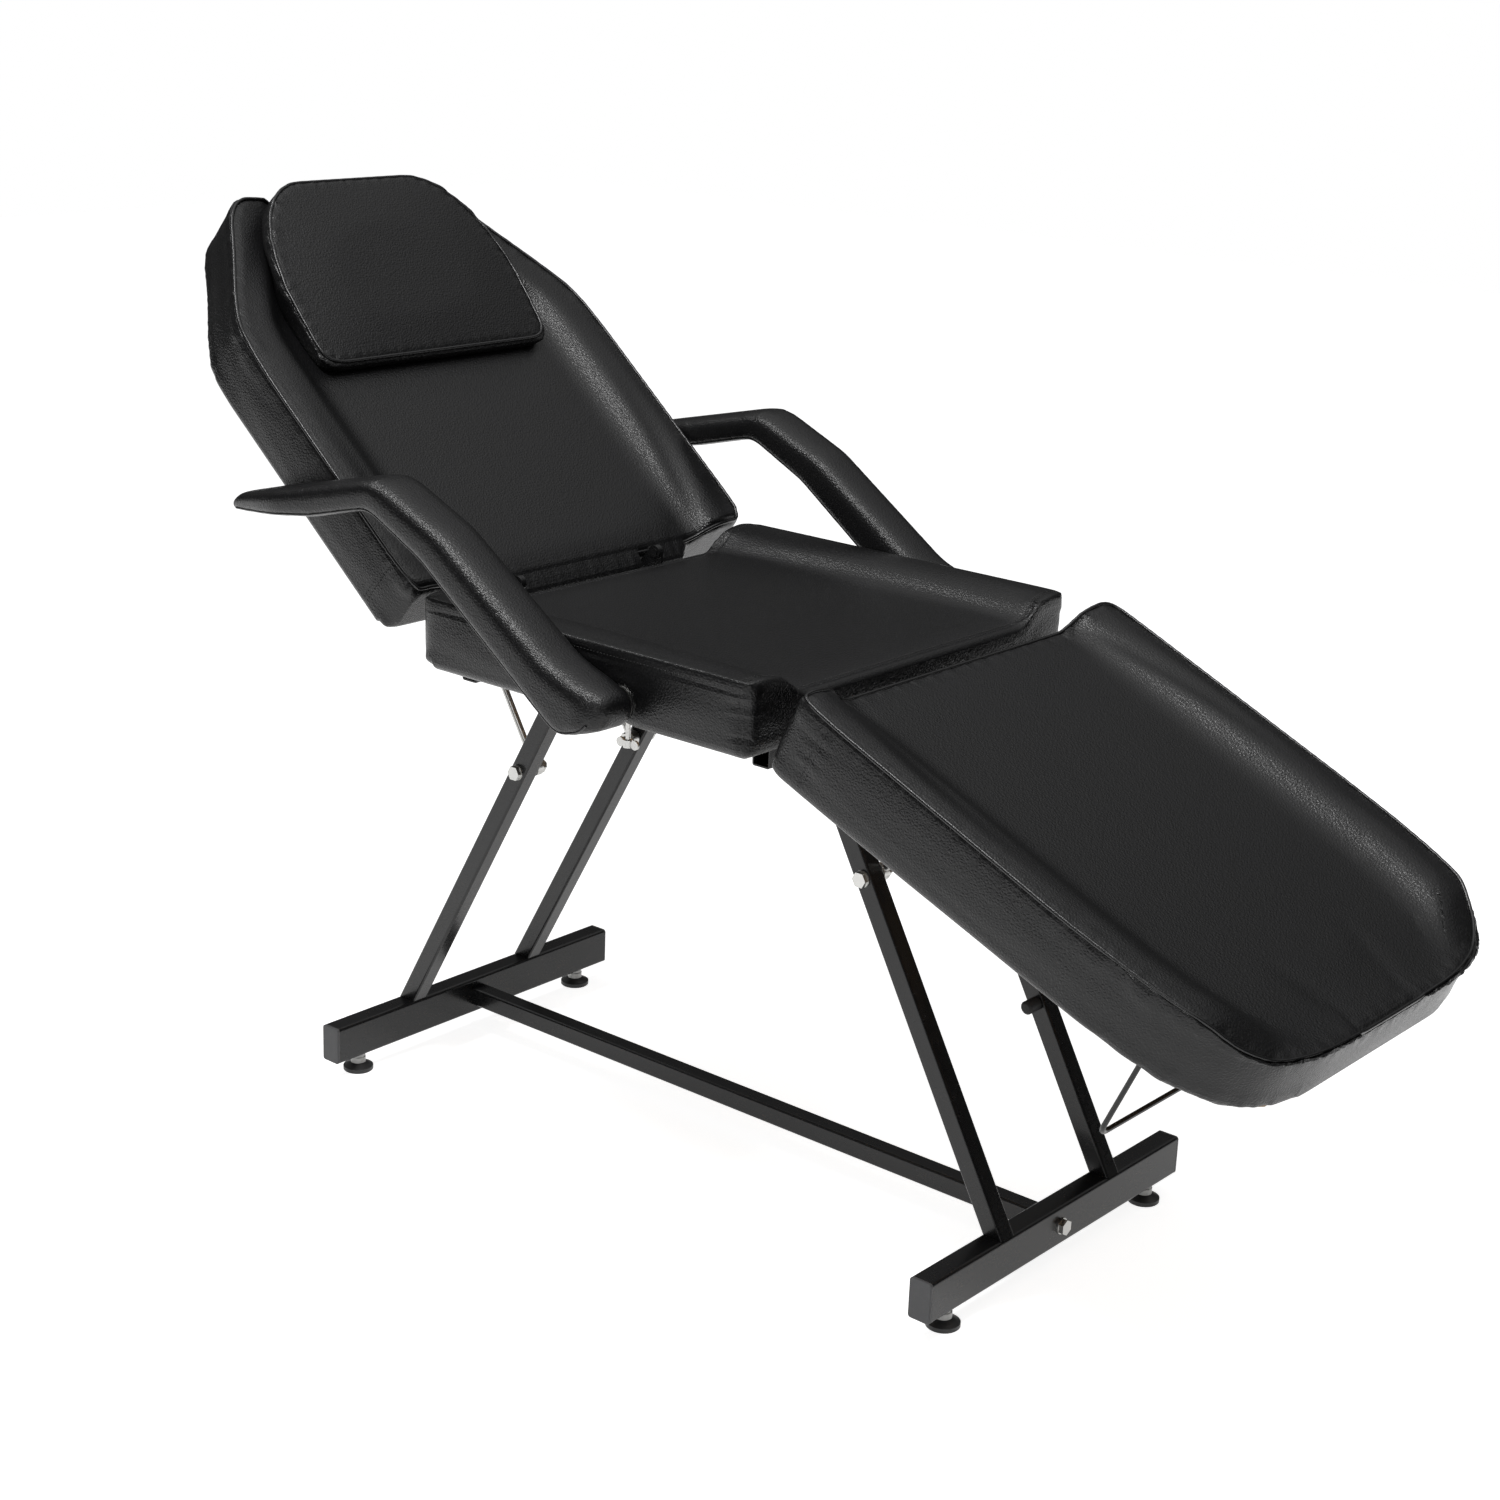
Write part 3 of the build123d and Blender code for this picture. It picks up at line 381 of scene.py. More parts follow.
# %% Vinyl and thread
vinyl = finish_material(
    "black_vinyl", (0.0045, 0.0045, 0.0048), (0.011, 0.011, 0.0115), 0.29, 0.12,
    grain=(260.0, 0.6, 4.0), dust=(0.08, 12.0), scuff=(0.12, 30.0, (1.0, 1.0, 1.0)),
    bump=(0.9, 0.00042), specular=0.32,
)
welt_vinyl = finish_material(
    "welt_vinyl", (0.0052, 0.0052, 0.0056), (0.014, 0.014, 0.0145), 0.24, 0.12,
    grain=(700.0, 0.4, 6.0), dust=(0.08, 20.0), scuff=(0.15, 60.0, (1.0, 1.0, 1.0)),
    bump=(0.35, 0.00012), specular=0.45,
)
thread = finish_material(
    "black_thread", (0.012, 0.012, 0.012), (0.045, 0.045, 0.047), 0.5, 0.2,
    grain=(1800.0, 0.6, 20.0), dust=(0.1, 30.0), scuff=(0.1, 100.0, (1.0, 1.0, 1.0)),
    bump=(0.5, 0.0001), specular=0.5, sheen=0.1,
)
print("covers:", vinyl.name, welt_vinyl.name, thread.name)

# %% Metal, paint and plastic
frame_paint = finish_material(
    "gloss_black_paint", (0.0048, 0.0048, 0.0052), (0.018, 0.018, 0.0185), 0.22, 0.25,
    grain=(260.0, 0.15, 7.0), dust=(0.12, 14.0), scuff=(0.15, 40.0, (1.0, 1.0, 3.0)),
    bump=(0.12, 0.00015), specular=0.28, coat=0.15, coat_roughness=0.08,
)
zinc = finish_material(
    "zinc_plate", (0.46, 0.46, 0.45), (0.62, 0.61, 0.58), 0.26, 0.22,
    grain=(420.0, 0.3, 30.0), dust=(0.15, 30.0), scuff=(0.5, 220.0, (1.0, 6.0, 1.0)),
    bump=(0.25, 0.0001), metallic=1.0,
)
chrome = finish_material(
    "chrome_plate", (0.60, 0.60, 0.60), (0.48, 0.48, 0.47), 0.07, 0.25,
    grain=(200.0, 0.1, 20.0), dust=(0.08, 30.0), scuff=(0.35, 260.0, (1.0, 0.1, 1.0)),
    bump=(0.05, 0.00005), metallic=1.0,
)
cap_plastic = finish_material(
    "cap_plastic", (0.062, 0.063, 0.066), (0.12, 0.12, 0.124), 0.50, 0.2,
    grain=(900.0, 0.5, 18.0), dust=(0.3, 40.0), scuff=(0.3, 120.0, (1.0, 1.0, 1.0)),
    bump=(0.7, 0.0003), specular=0.45,
)
rubber = finish_material(
    "black_rubber", (0.009, 0.009, 0.009), (0.04, 0.04, 0.041), 0.58, 0.2,
    grain=(1100.0, 0.4, 40.0), dust=(0.3, 50.0), scuff=(0.3, 150.0, (1.0, 1.0, 1.0)),
    bump=(0.5, 0.00015), specular=0.4,
)
print("metals and plastics ready")

# %% [markdown]
# ## Two finishes that need more
# A levelling foot is a black moulded disc with a plated stud, but it is one node, so the material
# changes at a height. Plywood shows long grain on its face, which comes from a noise stretched along
# the board. Both patterns read Object coordinates.

# %% Levelling foot finish
def finish_nodes(tree, *types):
    """The first node of each type in a finish."""
    return [next(node for node in tree.nodes if node.type == wanted) for wanted in types]


disc_top = 0.0112
foot_finish = finish_material(
    "levelling_foot", (0.020, 0.020, 0.020), (0.07, 0.07, 0.072), 0.42, 0.22,
    grain=(800.0, 0.3, 30.0), dust=(0.3, 60.0), scuff=(0.3, 150.0, (1.0, 1.0, 1.0)),
    bump=(0.4, 0.00012), specular=0.45,
)
tree = foot_finish.node_tree
shader, place, paint, relief = finish_nodes(tree, "BSDF_PRINCIPLED", "TEX_COORD", "MIX", "BUMP")
height = add_node(tree, "ShaderNodeSeparateXYZ", (-820, 420))
above_values = {"From Min": disc_top, "From Max": disc_top + 0.0004}
above = add_node(tree, "ShaderNodeMapRange", (-640, 420), above_values)
plated = add_node(tree, "ShaderNodeMix", (-260, 320), data_type="RGBA")
plated.inputs[7].default_value = (0.47, 0.47, 0.46, 1)
join(
    tree,
    (place, "Object", height, 0), (height, "Z", above, "Value"),
    (above, 0, plated, "Factor"), (paint, 2, plated, 6),
    (plated, 2, shader, "Base Color"), (above, 0, shader, "Metallic"),
)
thread_wave = add_node(tree, "ShaderNodeTexWave", (-820, -560), {"Scale": 200.0}, bands_direction="Z")
cut = add_node(tree, "ShaderNodeMath", (-640, -560), operation="MULTIPLY")
ridges = add_node(tree, "ShaderNodeBump", (-260, -480), {"Strength": 0.6, "Distance": 0.0004})
join(
    tree,
    (place, "Object", thread_wave, "Vector"), (thread_wave, 0, cut, 0),
    (above, 0, cut, 1), (cut, 0, ridges, "Height"),
    (relief, 0, ridges, "Normal"), (ridges, 0, shader, "Normal"),
)
print("levelling foot finish ready")

# %% Plywood finish
plywood = finish_material(
    "plywood", (0.40, 0.27, 0.15), (0.55, 0.41, 0.26), 0.55, 0.2,
    grain=(300.0, 0.2, 8.0), dust=(0.2, 20.0), scuff=(0.25, 14.0, (1.0, 9.0, 4.0)),
    bump=(0.35, 0.0003), specular=0.35,
)
tree = plywood.node_tree
shader, place, paint = finish_nodes(tree, "BSDF_PRINCIPLED", "TEX_COORD", "MIX")
drawn = add_node(tree, "ShaderNodeMapping", (-1050, 520), {"Scale": (3.0, 40.0, 40.0)})
figure = add_node(tree, "ShaderNodeTexNoise", (-820, 520), {"Scale": 2.2, "Detail": 6.0, "Distortion": 1.2})
bands = add_node(tree, "ShaderNodeMapRange", (-640, 520), {"From Min": 0.35, "From Max": 0.65})
grain_tint = add_node(tree, "ShaderNodeMix", (-260, 320), {"Factor": 0.5}, data_type="RGBA")
grain_tint.inputs[7].default_value = (0.30, 0.18, 0.09, 1)
join(
    tree,
    (place, "Object", drawn, 0), (drawn, 0, figure, "Vector"),
    (figure, 0, bands, "Value"), (bands, 0, grain_tint, "Factor"),
    (paint, 2, grain_tint, 6), (grain_tint, 2, shader, "Base Color"),
)
print("plywood ready")

# %% Give every CAD node its finish
finishes = {
    "vinyl": vinyl, "frame_paint": frame_paint, "zinc": zinc, "chrome": chrome,
    "cap_plastic": cap_plastic, "foot_plastic": foot_finish, "peg_rubber": rubber, "plywood": plywood,
}
for row in frame["record"]["subparts"]:
    slots = nodes[row["node"]].data.materials
    slots.clear()
    slots.append(finishes[row["material_slot"]])
print("finished", len(nodes), "nodes")


# %% [markdown]
# ## Lying each section flat
# The backrest and the leg rest are tilted. A cushion is far easier to shape when it lies flat with its
# length along X and its underside at height nought, so each section gets a matrix that carries such a
# flat bench to its real place. The hinge places come from the joints in the record.

# %% Benches
def hinge(name):
    """Where a joint of the record is, as a translation."""
    found = next(joint for joint in frame["joints"] if joint["name"] == name)
    return Matrix.Translation(found["pos_m"])


back_angle, leg_angle = math.radians(40), math.radians(24)
back_from_hinge = (-0.011, 0, -0.070)
leg_from_hinge = (-0.030, 0, 0.030)
seat_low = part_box("seat_cushion")[0]
benches = {
    "seat": Matrix.Translation((seat_low.x, 0, seat_low.z)),
    "back": hinge("backrest_hinge") @ Matrix.Rotation(back_angle, 4, "Y")
    @ Matrix.Translation(back_from_hinge) @ Matrix.Rotation(math.pi, 4, "Z"),
    "leg": hinge("leg_rest_hinge") @ Matrix.Rotation(leg_angle, 4, "Y")
    @ Matrix.Translation(leg_from_hinge),
}
print({name: tuple(round(v, 3) for v in bench.translation) for name, bench in benches.items()})

# %% [markdown]
# ## From a hard solid to a stuffed cover
# A vinyl cushion is a foam block pulled into a sewn cover that is a little too small, so its faces
# swell and its seams stay put. It could be modelled by hand with subdivision surfaces. Here a copy of
# the CAD cushion is cut into an even skin by a voxel remesh, drawn in slightly and blown up by cloth
# simulation, with the stapled underside held. How far a point may move is capped, because the cushion
# has to keep to the space that its hinge leaves.

# %% Mesh helpers
def coordinates(mesh):
    """A mesh's points as an array."""
    points = np.empty(len(mesh.vertices) * 3)
    mesh.vertices.foreach_get("co", points)
    return points.reshape(-1, 3)


def set_coordinates(mesh, points):
    """Writes an array of points back into a mesh."""
    mesh.vertices.foreach_set("co", points.ravel())
    mesh.update()


def normals_of(mesh):
    """A mesh's vertex normals as an array."""
    found = np.empty(len(mesh.vertices) * 3)
    mesh.vertex_normals.foreach_get("vector", found)
    return found.reshape(-1, 3)


def show(mesh, name, materials=()):
    """Makes an object of a mesh, smooth shaded, with its materials."""
    mesh.name = name
    mesh.materials.clear()
    for material in materials:
        mesh.materials.append(material)
    mesh.polygons.foreach_set("use_smooth", [True] * len(mesh.polygons))
    piece = bpy.data.objects.new(name, mesh)
    bpy.context.scene.collection.objects.link(piece)
    return piece


def settle(piece):
    """Applies a piece's modifiers."""
    bpy.context.view_layer.update()
    shaped = piece.evaluated_get(bpy.context.evaluated_depsgraph_get())
    mesh = bpy.data.meshes.new_from_object(shaped)
    piece.modifiers.clear()
    piece.data = mesh


def merged_copy(node, bench):
    """A copy of a CAD node's mesh, laid flat on a bench, with its loose triangles merged."""
    mesh = nodes[node].data.copy()
    mesh.transform(bench.inverted())
    form = bmesh.new()
    form.from_mesh(mesh)
    bmesh.ops.remove_doubles(form, verts=form.verts, dist=0.00005)
    form.to_mesh(mesh)
    form.free()
    return mesh


print("mesh helpers ready")


# %% Skin
def voxel_skin(name, node, bench, voxel):
    """The even skin of a CAD cushion, on its bench."""
    piece = show(merged_copy(node, bench), name, [vinyl])
    remesh = piece.modifiers.new("skin", "REMESH")
    remesh.mode = "VOXEL"
    remesh.voxel_size = voxel
    settle(piece)
    return piece


def relax(mesh, held, rounds):
    """Evens out the skin where it isn't held."""
    form = bmesh.new()
    form.from_mesh(mesh)
    form.verts.ensure_lookup_table()
    free = [vert for vert, stays in zip(form.verts, held) if not stays]
    axes = {"use_axis_x": True, "use_axis_y": True, "use_axis_z": True}
    for _ in range(rounds):
        bmesh.ops.smooth_vert(form, verts=free, factor=0.5, **axes)
    form.to_mesh(mesh)
    form.free()


print("skin helpers ready")

# %% Blow up
cloth_frames = 20


def blow_up(piece, held, draw_in, cap, pressure=4.0):
    """Draws the skin in and lets cloth pressure fill it. Held points stay, others move up to the cap."""
    mesh = piece.data
    before = coordinates(mesh)
    start = before - normals_of(mesh) * draw_in * (~held)[:, None]
    set_coordinates(mesh, start)
    group = piece.vertex_groups.new(name="held")
    group.add(np.nonzero(held)[0].tolist(), 1.0, "REPLACE")
    cloth = piece.modifiers.new("cloth", "CLOTH")
    cloth.settings.quality = 4
    cloth.settings.mass = 0.3
    cloth.settings.tension_stiffness = 30
    cloth.settings.compression_stiffness = 30
    cloth.settings.shear_stiffness = 15
    cloth.settings.bending_stiffness = 3
    cloth.settings.use_pressure = True
    cloth.settings.uniform_pressure_force = pressure
    cloth.settings.vertex_group_mass = "held"
    cloth.settings.effector_weights.gravity = 0
    cloth.point_cache.frame_start = 1
    cloth.point_cache.frame_end = cloth_frames
    for number in range(1, cloth_frames + 1):
        bpy.context.scene.frame_set(number)
    filled = coordinates(piece.evaluated_get(bpy.context.evaluated_depsgraph_get()).data)
    bpy.context.scene.frame_set(1)
    piece.modifiers.remove(cloth)
    piece.vertex_groups.clear()
    move = filled - start
    size = np.linalg.norm(move, axis=1, keepdims=True)
    set_coordinates(mesh, start + move * np.minimum(1, cap / np.maximum(size, 1e-9)))
    return float(np.median(size))


print("cloth runs for", cloth_frames, "frames")


# %% Box, subdivision and search tree
def keep_inside(points, low, high, grow_up):
    """Keeps points in the CAD cushion's box, which they may leave only upwards."""
    ceiling = np.array([high[0], high[1], high[2] + grow_up])
    return np.clip(points, low, ceiling)


def subdivide(piece):
    """One level of subdivision, applied."""
    finer = piece.modifiers.new("finer", "SUBSURF")
    finer.levels = finer.render_levels = 1
    settle(piece)


def surface_tree(piece):
    """A search tree of a piece's surface."""
    mesh = piece.data
    mesh.calc_loop_triangles()
    corners = [vertex.co for vertex in mesh.vertices]
    return BVHTree.FromPolygons(corners, [tuple(t.vertices) for t in mesh.loop_triangles])


print("surface helpers ready")


# %% [markdown]
# The rim of the top panel is a seam with a cord in it. It is stiff and stays where it is sewn, so it is
# held as well, and only the panels between the seams swell.

# %% Rim of the top panel
def top_rim(piece, above):
    """Which points lie on the rounded rim of the top panel, by how their normals face."""
    points, outward = coordinates(piece.data), normals_of(piece.data)
    flat = np.linalg.norm(outward[:, :2], axis=1)
    middle = (points.min(0) + points.max(0)) / 2
    away = outward[:, 1] * np.sign(points[:, 1]) > 0.3 * flat
    from_middle = points[:, 0] - middle[0]
    at_end = abs(from_middle) > 0.4 * np.ptp(points[:, 0])
    away |= (outward[:, 0] * np.sign(from_middle) > 0.3 * flat) & at_end
    return away & (flat > 0.22) & (outward[:, 2] > 0.12) & (points[:, 2] > above)


def ramp(values, start, end):
    """Nought before the start, one after the end and a soft rise between."""
    share = np.clip((values - start) / (end - start), 0, 1)
    return share * share * (3 - 2 * share)


print("rim helpers ready")

# %% Section cushions
socket_x, socket_z = 0.328, 0.0245
board_zone = 0.016


def section_pad(name, node, bench, voxel=0.0075, cap=0.0048, draw_in=0.0022):
    """One section's cushion: skinned, blown up, relaxed and subdivided, still on its bench."""
    piece = voxel_skin(name, node, benches[bench], voxel)
    box = coordinates(merged_copy(node, benches[bench]))
    low, high = box.min(0), box.max(0)
    points = coordinates(piece.data)
    in_board = points[:, 2] < board_zone
    in_socket = (bench == "seat") & (abs(points[:, 0] - socket_x) < 0.024) & (points[:, 2] < 0.050)
    held = in_board | in_socket | top_rim(piece, 0.040) | (points[:, 0] < 0.003)
    swelling = 0.0
    swelling = blow_up(piece, held, draw_in, cap)
    relax(piece.data, held, 6)
    set_coordinates(piece.data, keep_inside(coordinates(piece.data), low, high, 0.004))
    subdivide(piece)
    print(name, "faces", len(piece.data.polygons), "swelled", round(swelling * 1000, 1), "mm")
    return piece


def crisp_edges(piece, length, soft_low_end=False, was=0.012, now=0.0045):
    """Pulls the rounded rim of a cushion out to a tighter radius, as its sewn corner is."""
    points, outward = coordinates(piece.data), normals_of(piece.data)
    flat = np.linalg.norm(outward[:, :2], axis=1)
    beside = outward[:, 1] * np.sign(points[:, 1]) > 0.3 * flat
    high_end = (points[:, 0] > length - 0.13) & (outward[:, 0] > 0.3 * flat)
    low_end = (points[:, 0] < 0.03) & (outward[:, 0] < -0.3 * flat)
    ends = high_end | low_end
    if soft_low_end:
        ends &= points[:, 0] > 0.03
        beside &= points[:, 0] > 0.016
    rim = beside | ends
    rise = np.abs(outward[:, 2])
    share = rim * ramp(flat, 0.12, 0.34) * ramp(rise, 0.05, 0.22) * (outward[:, 2] > 0)
    away = np.column_stack([outward[:, :2] / np.maximum(flat, 1e-6)[:, None], np.sign(outward[:, 2])])
    set_coordinates(piece.data, points + (away - outward) * ((was - now) * share)[:, None])
    relax(piece.data, share < 0.05, 1)


seat_pad = section_pad("seat_pad", "seat_cushion", "seat")
back_pad = section_pad("back_pad", "back_cushion", "back")
leg_pad = section_pad("leg_pad", "leg_rest_cushion", "leg")

# %% [markdown]
# The foam is boxed: its top and bottom panels meet the flank at a tight sewn corner, while the CAD
# solid is rounded there as a block of foam is. The rim is pulled out to the tighter radius. At
# the foot end the leg rest's bolsters sink to the level of its panel, and its flank hangs lower
# towards the knee. Below, the cover wraps round the board's edge, so the rim hangs a little under it.

# %% Shape the sections
seat_length, back_length, leg_length = 0.518, 0.638, 0.640
panel_level = 0.060
sink_share, flank_hang, rim_hang = 0.85, 0.012, 0.0035
points = coordinates(leg_pad.data)
sink = ramp(points[:, 0], leg_length - 0.105, leg_length - 0.020)
over = np.maximum(points[:, 2] - panel_level, 0)
points[:, 2] -= over * sink * sink_share
flank = ramp(abs(points[:, 1]), 0.276, 0.290) * np.clip(1 - points[:, 2] / 0.070, 0, 1)
points[:, 2] -= flank_hang * flank * (1 - ramp(points[:, 0], 0.0, 0.50))
set_coordinates(leg_pad.data, points)

for pad in (seat_pad, back_pad, leg_pad):
    points, outward = coordinates(pad.data), normals_of(pad.data)
    wrapped = ramp(np.linalg.norm(outward[:, :2], axis=1), 0.10, 0.35)
    wrapped = wrapped * (points[:, 2] < 0.014) * (outward[:, 2] < 0)
    points[:, 2] -= rim_hang * wrapped * ((points[:, 0] > 0.020) | (pad is leg_pad))
    set_coordinates(pad.data, points)
crisp_edges(seat_pad, seat_length, now=0.006)
crisp_edges(back_pad, back_length, soft_low_end=True)
crisp_edges(leg_pad, leg_length)
print("rims tightened, foot end levelled")

# %% [markdown]
# The headrest is stuffed like the sections. An armrest is moulded foam under a tight cover, which has
# no room to swell, so its skin is only relaxed.

# %% Headrest and armrest pads
def small_pad(name, node, bench, hold, voxel, cap=0.0, draw_in=0.0):
    """A smaller pad. hold is a function that picks the points which stay. With no cap it isn't blown up."""
    piece = voxel_skin(name, node, bench, voxel)
    box = coordinates(merged_copy(node, bench))
    held = hold(piece)
    if cap:
        blow_up(piece, held, draw_in, cap)
    relax(piece.data, held, 6)
    set_coordinates(piece.data, keep_inside(coordinates(piece.data), box.min(0), box.max(0), 0.003))
    subdivide(piece)
    print(name, "faces", len(piece.data.polygons))
    return piece


pillow_pad = small_pad(
    "headrest_pad", "headrest", benches["back"],
    lambda piece: (coordinates(piece.data)[:, 2] < 0.066) | top_rim(piece, 0.070), 0.0065, 0.0050, 0.0010,
)
points = coordinates(pillow_pad.data)
along = np.clip((points[:, 0] - 0.443) / 0.182, 0, 0.999)
round_end = np.clip((points[:, 0] - 0.518) / 0.107, 0, 0.999)
points[:, 1] *= (0.090 + 0.115 * np.sqrt(1 - along ** 2)) / (0.100 + 0.105 * np.sqrt(1 - round_end ** 2))
set_coordinates(pillow_pad.data, points)

bar_place = {name: sum(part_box("arm_bar_" + name), Vector()) / 2 for name in ("near", "far")}
arm_pads = {}


def at_bar(piece):
    """Which points of an armrest lie round its bar."""
    points = coordinates(piece.data)
    return np.hypot(points[:, 0], points[:, 2]) < 0.016


for name in ("near", "far"):
    bar = bar_place[name]
    around = Matrix.Translation((bar.x, 0, bar.z))
    arm_pads[name] = small_pad("armrest_pad_" + name, "arm_pad_" + name, around, at_bar, 0.0050)

# %% Round the armrests
arm_spots = (
    (-0.640, 0.130), (-0.440, 0.167), (-0.335, 0.192), (-0.235, 0.148), (-0.040, 0.012), (0.060, -0.010),
)
arm_line = [Vector(spot) for spot in arm_spots]
arm_inner, arm_outer = 0.308, 0.382
tip_narrowing, tip_thinning, bulb_narrowing, crown_edge = 0.36, 0.22, 0.42, 0.52


def narrowing(x):
    """How much of its width the armrest keeps: less towards its tip, measured from its inner side."""
    return 1 - tip_narrowing * ramp(-x, 0.490, 0.640)


def along_arm(x, z):
    """The nearest point of the armrest's middle line, and the direction that faces up from it."""
    best = None
    spot = Vector((x, z))
    for before, after in zip(arm_line, arm_line[1:]):
        run = after - before
        near = before + run * min(1, max(0, (spot - before).dot(run) / run.length_squared))
        if best is None or (spot - near).length < best[0]:
            best = ((spot - near).length, near, Vector((-run.y, run.x)).normalized())
    return best[1], best[2]


for name, sign in (("near", -1), ("far", 1)):
    points = coordinates(arm_pads[name].data)
    middle = (arm_inner + arm_outer) / 2
    for index, (x, y, z) in enumerate(points):
        near, up = along_arm(x, z)
        across = min(1, abs(abs(y) - middle) / ((arm_outer - arm_inner) / 2))
        height = (Vector((x, z)) - near).dot(up)
        crown = crown_edge + (1 - crown_edge) * math.sqrt(1 - across ** 2.4)
        thinner = 1 - tip_thinning * float(ramp(-x, 0.500, 0.640))
        change = height * ((crown if height > 0 else 1) * thinner - 1)
        bulb = 1 - bulb_narrowing * float(ramp(x, -0.004, 0.058))
        width = (abs(y) - middle) * bulb + middle
        width = arm_inner + (width - arm_inner) * float(narrowing(x))
        points[index] = (x + up.x * change, sign * width, z + up.y * change)
    set_coordinates(arm_pads[name].data, points)
print("armrests rounded")


# %% [markdown]
# ## Seams
# Piping is a cord wrapped in vinyl and sewn between two panels, so it follows the rim of the top
# panel. The rim is found by rays: from all round towards the middle of the pad, and then straight
# down, which gives a point on the real surface wherever the pad swelled. A curve with a round bevel
# through those points is the piping; it is then turned into a mesh like every other piece.

# %% Rim and even paths
def rim_path(tree, centre, reach, level, inset, step):
    """Points round a pad's top panel, evenly spaced. level gives the flank's height at a place along X."""
    ring = []
    for number in range(1440):
        turn = 2 * math.pi * number / 1440
        outward = Vector((math.cos(turn), math.sin(turn), 0))
        hit, normal = Vector((centre[0], centre[1], 0)), None
        for _ in range(3):
            start = Vector((centre[0], centre[1], level(hit.x))) + outward * reach
            found, facing, _, _ = tree.ray_cast(start, -outward)
            if found is not None:
                hit, normal = found, facing
        if normal is None:
            continue
        flat_normal = Vector((normal.x, normal.y, 0)).normalized()
        over = hit - flat_normal * inset
        top, _, _, _ = tree.ray_cast(Vector((over.x, over.y, 0.5)), Vector((0, 0, -1)))
        if top is not None:
            ring.append(top)
    return even_path(ring, step, closed=True)


def even_path(points, step, closed):
    """The same path with evenly spaced points, smoothed a little."""
    line = np.array(points)
    if closed:
        line = np.vstack([line, line[:1]])
    run = np.concatenate([[0], np.cumsum(np.linalg.norm(np.diff(line, axis=0), axis=1))])
    count = max(8, int(run[-1] / step))
    wanted = np.linspace(0, run[-1], count, endpoint=not closed)
    even = np.stack([np.interp(wanted, run, line[:, axis]) for axis in range(3)], axis=1)
    for _ in range(3):
        if closed:
            even = (np.roll(even, 1, 0) + 2 * even + np.roll(even, -1, 0)) / 4
        else:
            even[1:-1] = (even[:-2] + 2 * even[1:-1] + even[2:]) / 4
    return even


print("paths ready")


# %% Laying and pressing a path
def on_surface(tree, path, lift):
    """Lays a path on a surface, lifted along the surface's normal."""
    laid = []
    for point in path:
        near, normal, _, _ = tree.find_nearest(Vector(point))
        laid.append(near + normal * lift)
    return np.array(laid)


def press_line(piece, path, width, depth):
    """Presses a soft valley into a piece along a path."""
    search = KDTree(len(path))
    for number, point in enumerate(path):
        search.insert(Vector(point), number)
    search.balance()
    mesh = piece.data
    points, outward = coordinates(mesh), normals_of(mesh)
    distance = np.array([search.find(Vector(point))[2] for point in points])
    share = np.clip(1 - distance / width, 0, 1)
    set_coordinates(mesh, points - outward * (depth * share * share)[:, None])


print("laying and pressing ready")


# %% Cord
def cord_piece(name, path, radius, material, closed, sides=3):
    """A round cord along a path, as a mesh."""
    data = bpy.data.curves.new(name, "CURVE")
    data.dimensions = "3D"
    data.bevel_depth = radius
    data.bevel_resolution = sides
    data.use_fill_caps = not closed
    spline = data.splines.new("POLY")
    spline.points.add(len(path) - 1)
    for place, point in zip(spline.points, path):
        place.co = (*point, 1)
    spline.use_cyclic_u = closed
    drawn = bpy.data.objects.new(name, data)
    bpy.context.scene.collection.objects.link(drawn)
    bpy.context.view_layer.update()
    mesh = bpy.data.meshes.new_from_object(drawn.evaluated_get(bpy.context.evaluated_depsgraph_get()))
    bpy.data.objects.remove(drawn)
    return show(mesh, name, [material])


print("cord helper ready")

# %% Piping round the panels
welt_radius = 0.0024
path_step = 0.005
section_flank = 0.044
trims = []


def add_welt(name, piece, bench, body, centre, reach, level, inset=0.0036):
    """Piping round a pad's top panel, sitting in a pressed valley."""
    path = rim_path(surface_tree(piece), centre, reach, level, inset, path_step)
    press_line(piece, path, 0.011, 0.0016)
    laid = on_surface(surface_tree(piece), path, welt_radius * 0.35)
    trims.append((cord_piece(name, laid, welt_radius, welt_vinyl, True), bench, body))
    print(name, "is", round(path_step * len(laid), 2), "m round")
    return path


def pillow_flank(x):
    """The height of the headrest's flank, which rises from its heel to its head."""
    return 0.067 + 0.182 * max(0, x - 0.350)


back_rim = add_welt("back_welt", back_pad, "back", "backrest", (0.320, 0), 1.0, lambda x: section_flank)
leg_rim = add_welt("leg_welt", leg_pad, "leg", "leg_rest", (0.320, 0), 1.0, lambda x: section_flank)
pillow_rim = add_welt(
    "headrest_welt", pillow_pad, "back", "headrest", (0.485, 0), 0.6, pillow_flank, inset=0.0030,
)

# %% [markdown]
# Below its piping the backrest's low end reaches on as a soft lip that hides the gap before the seat,
# with a slot on each side for the hinge plates.

# %% Lip at the low end of the backrest
lip_reach = 0.018
points = coordinates(back_pad.data)
between = 1 - ramp(abs(points[:, 1]), 0.112, 0.117)
beyond = ramp(abs(points[:, 1]), 0.134, 0.139) * (1 - ramp(abs(points[:, 1]), 0.190, 0.215))
near_end = 1 - ramp(points[:, 0], 0.0025, 0.0090)
low_part = ramp(points[:, 2], 0.026, 0.040)
points[:, 0] -= lip_reach * (between + beyond) * near_end * low_part
set_coordinates(back_pad.data, points)
print("lip brought forward")


# %% [markdown]
# ## Stitching
# Where two panels meet without piping, the vinyl is sewn down on both sides of the seam. Each stitch
# is a short thread, so a row is one small closed capsule, repeated. They number hundreds, so a
# capsule is made from a coarse sphere of a few dozen faces, and a whole row is joined into one mesh.

# %% Stitch helpers
points_per_stitch = 20


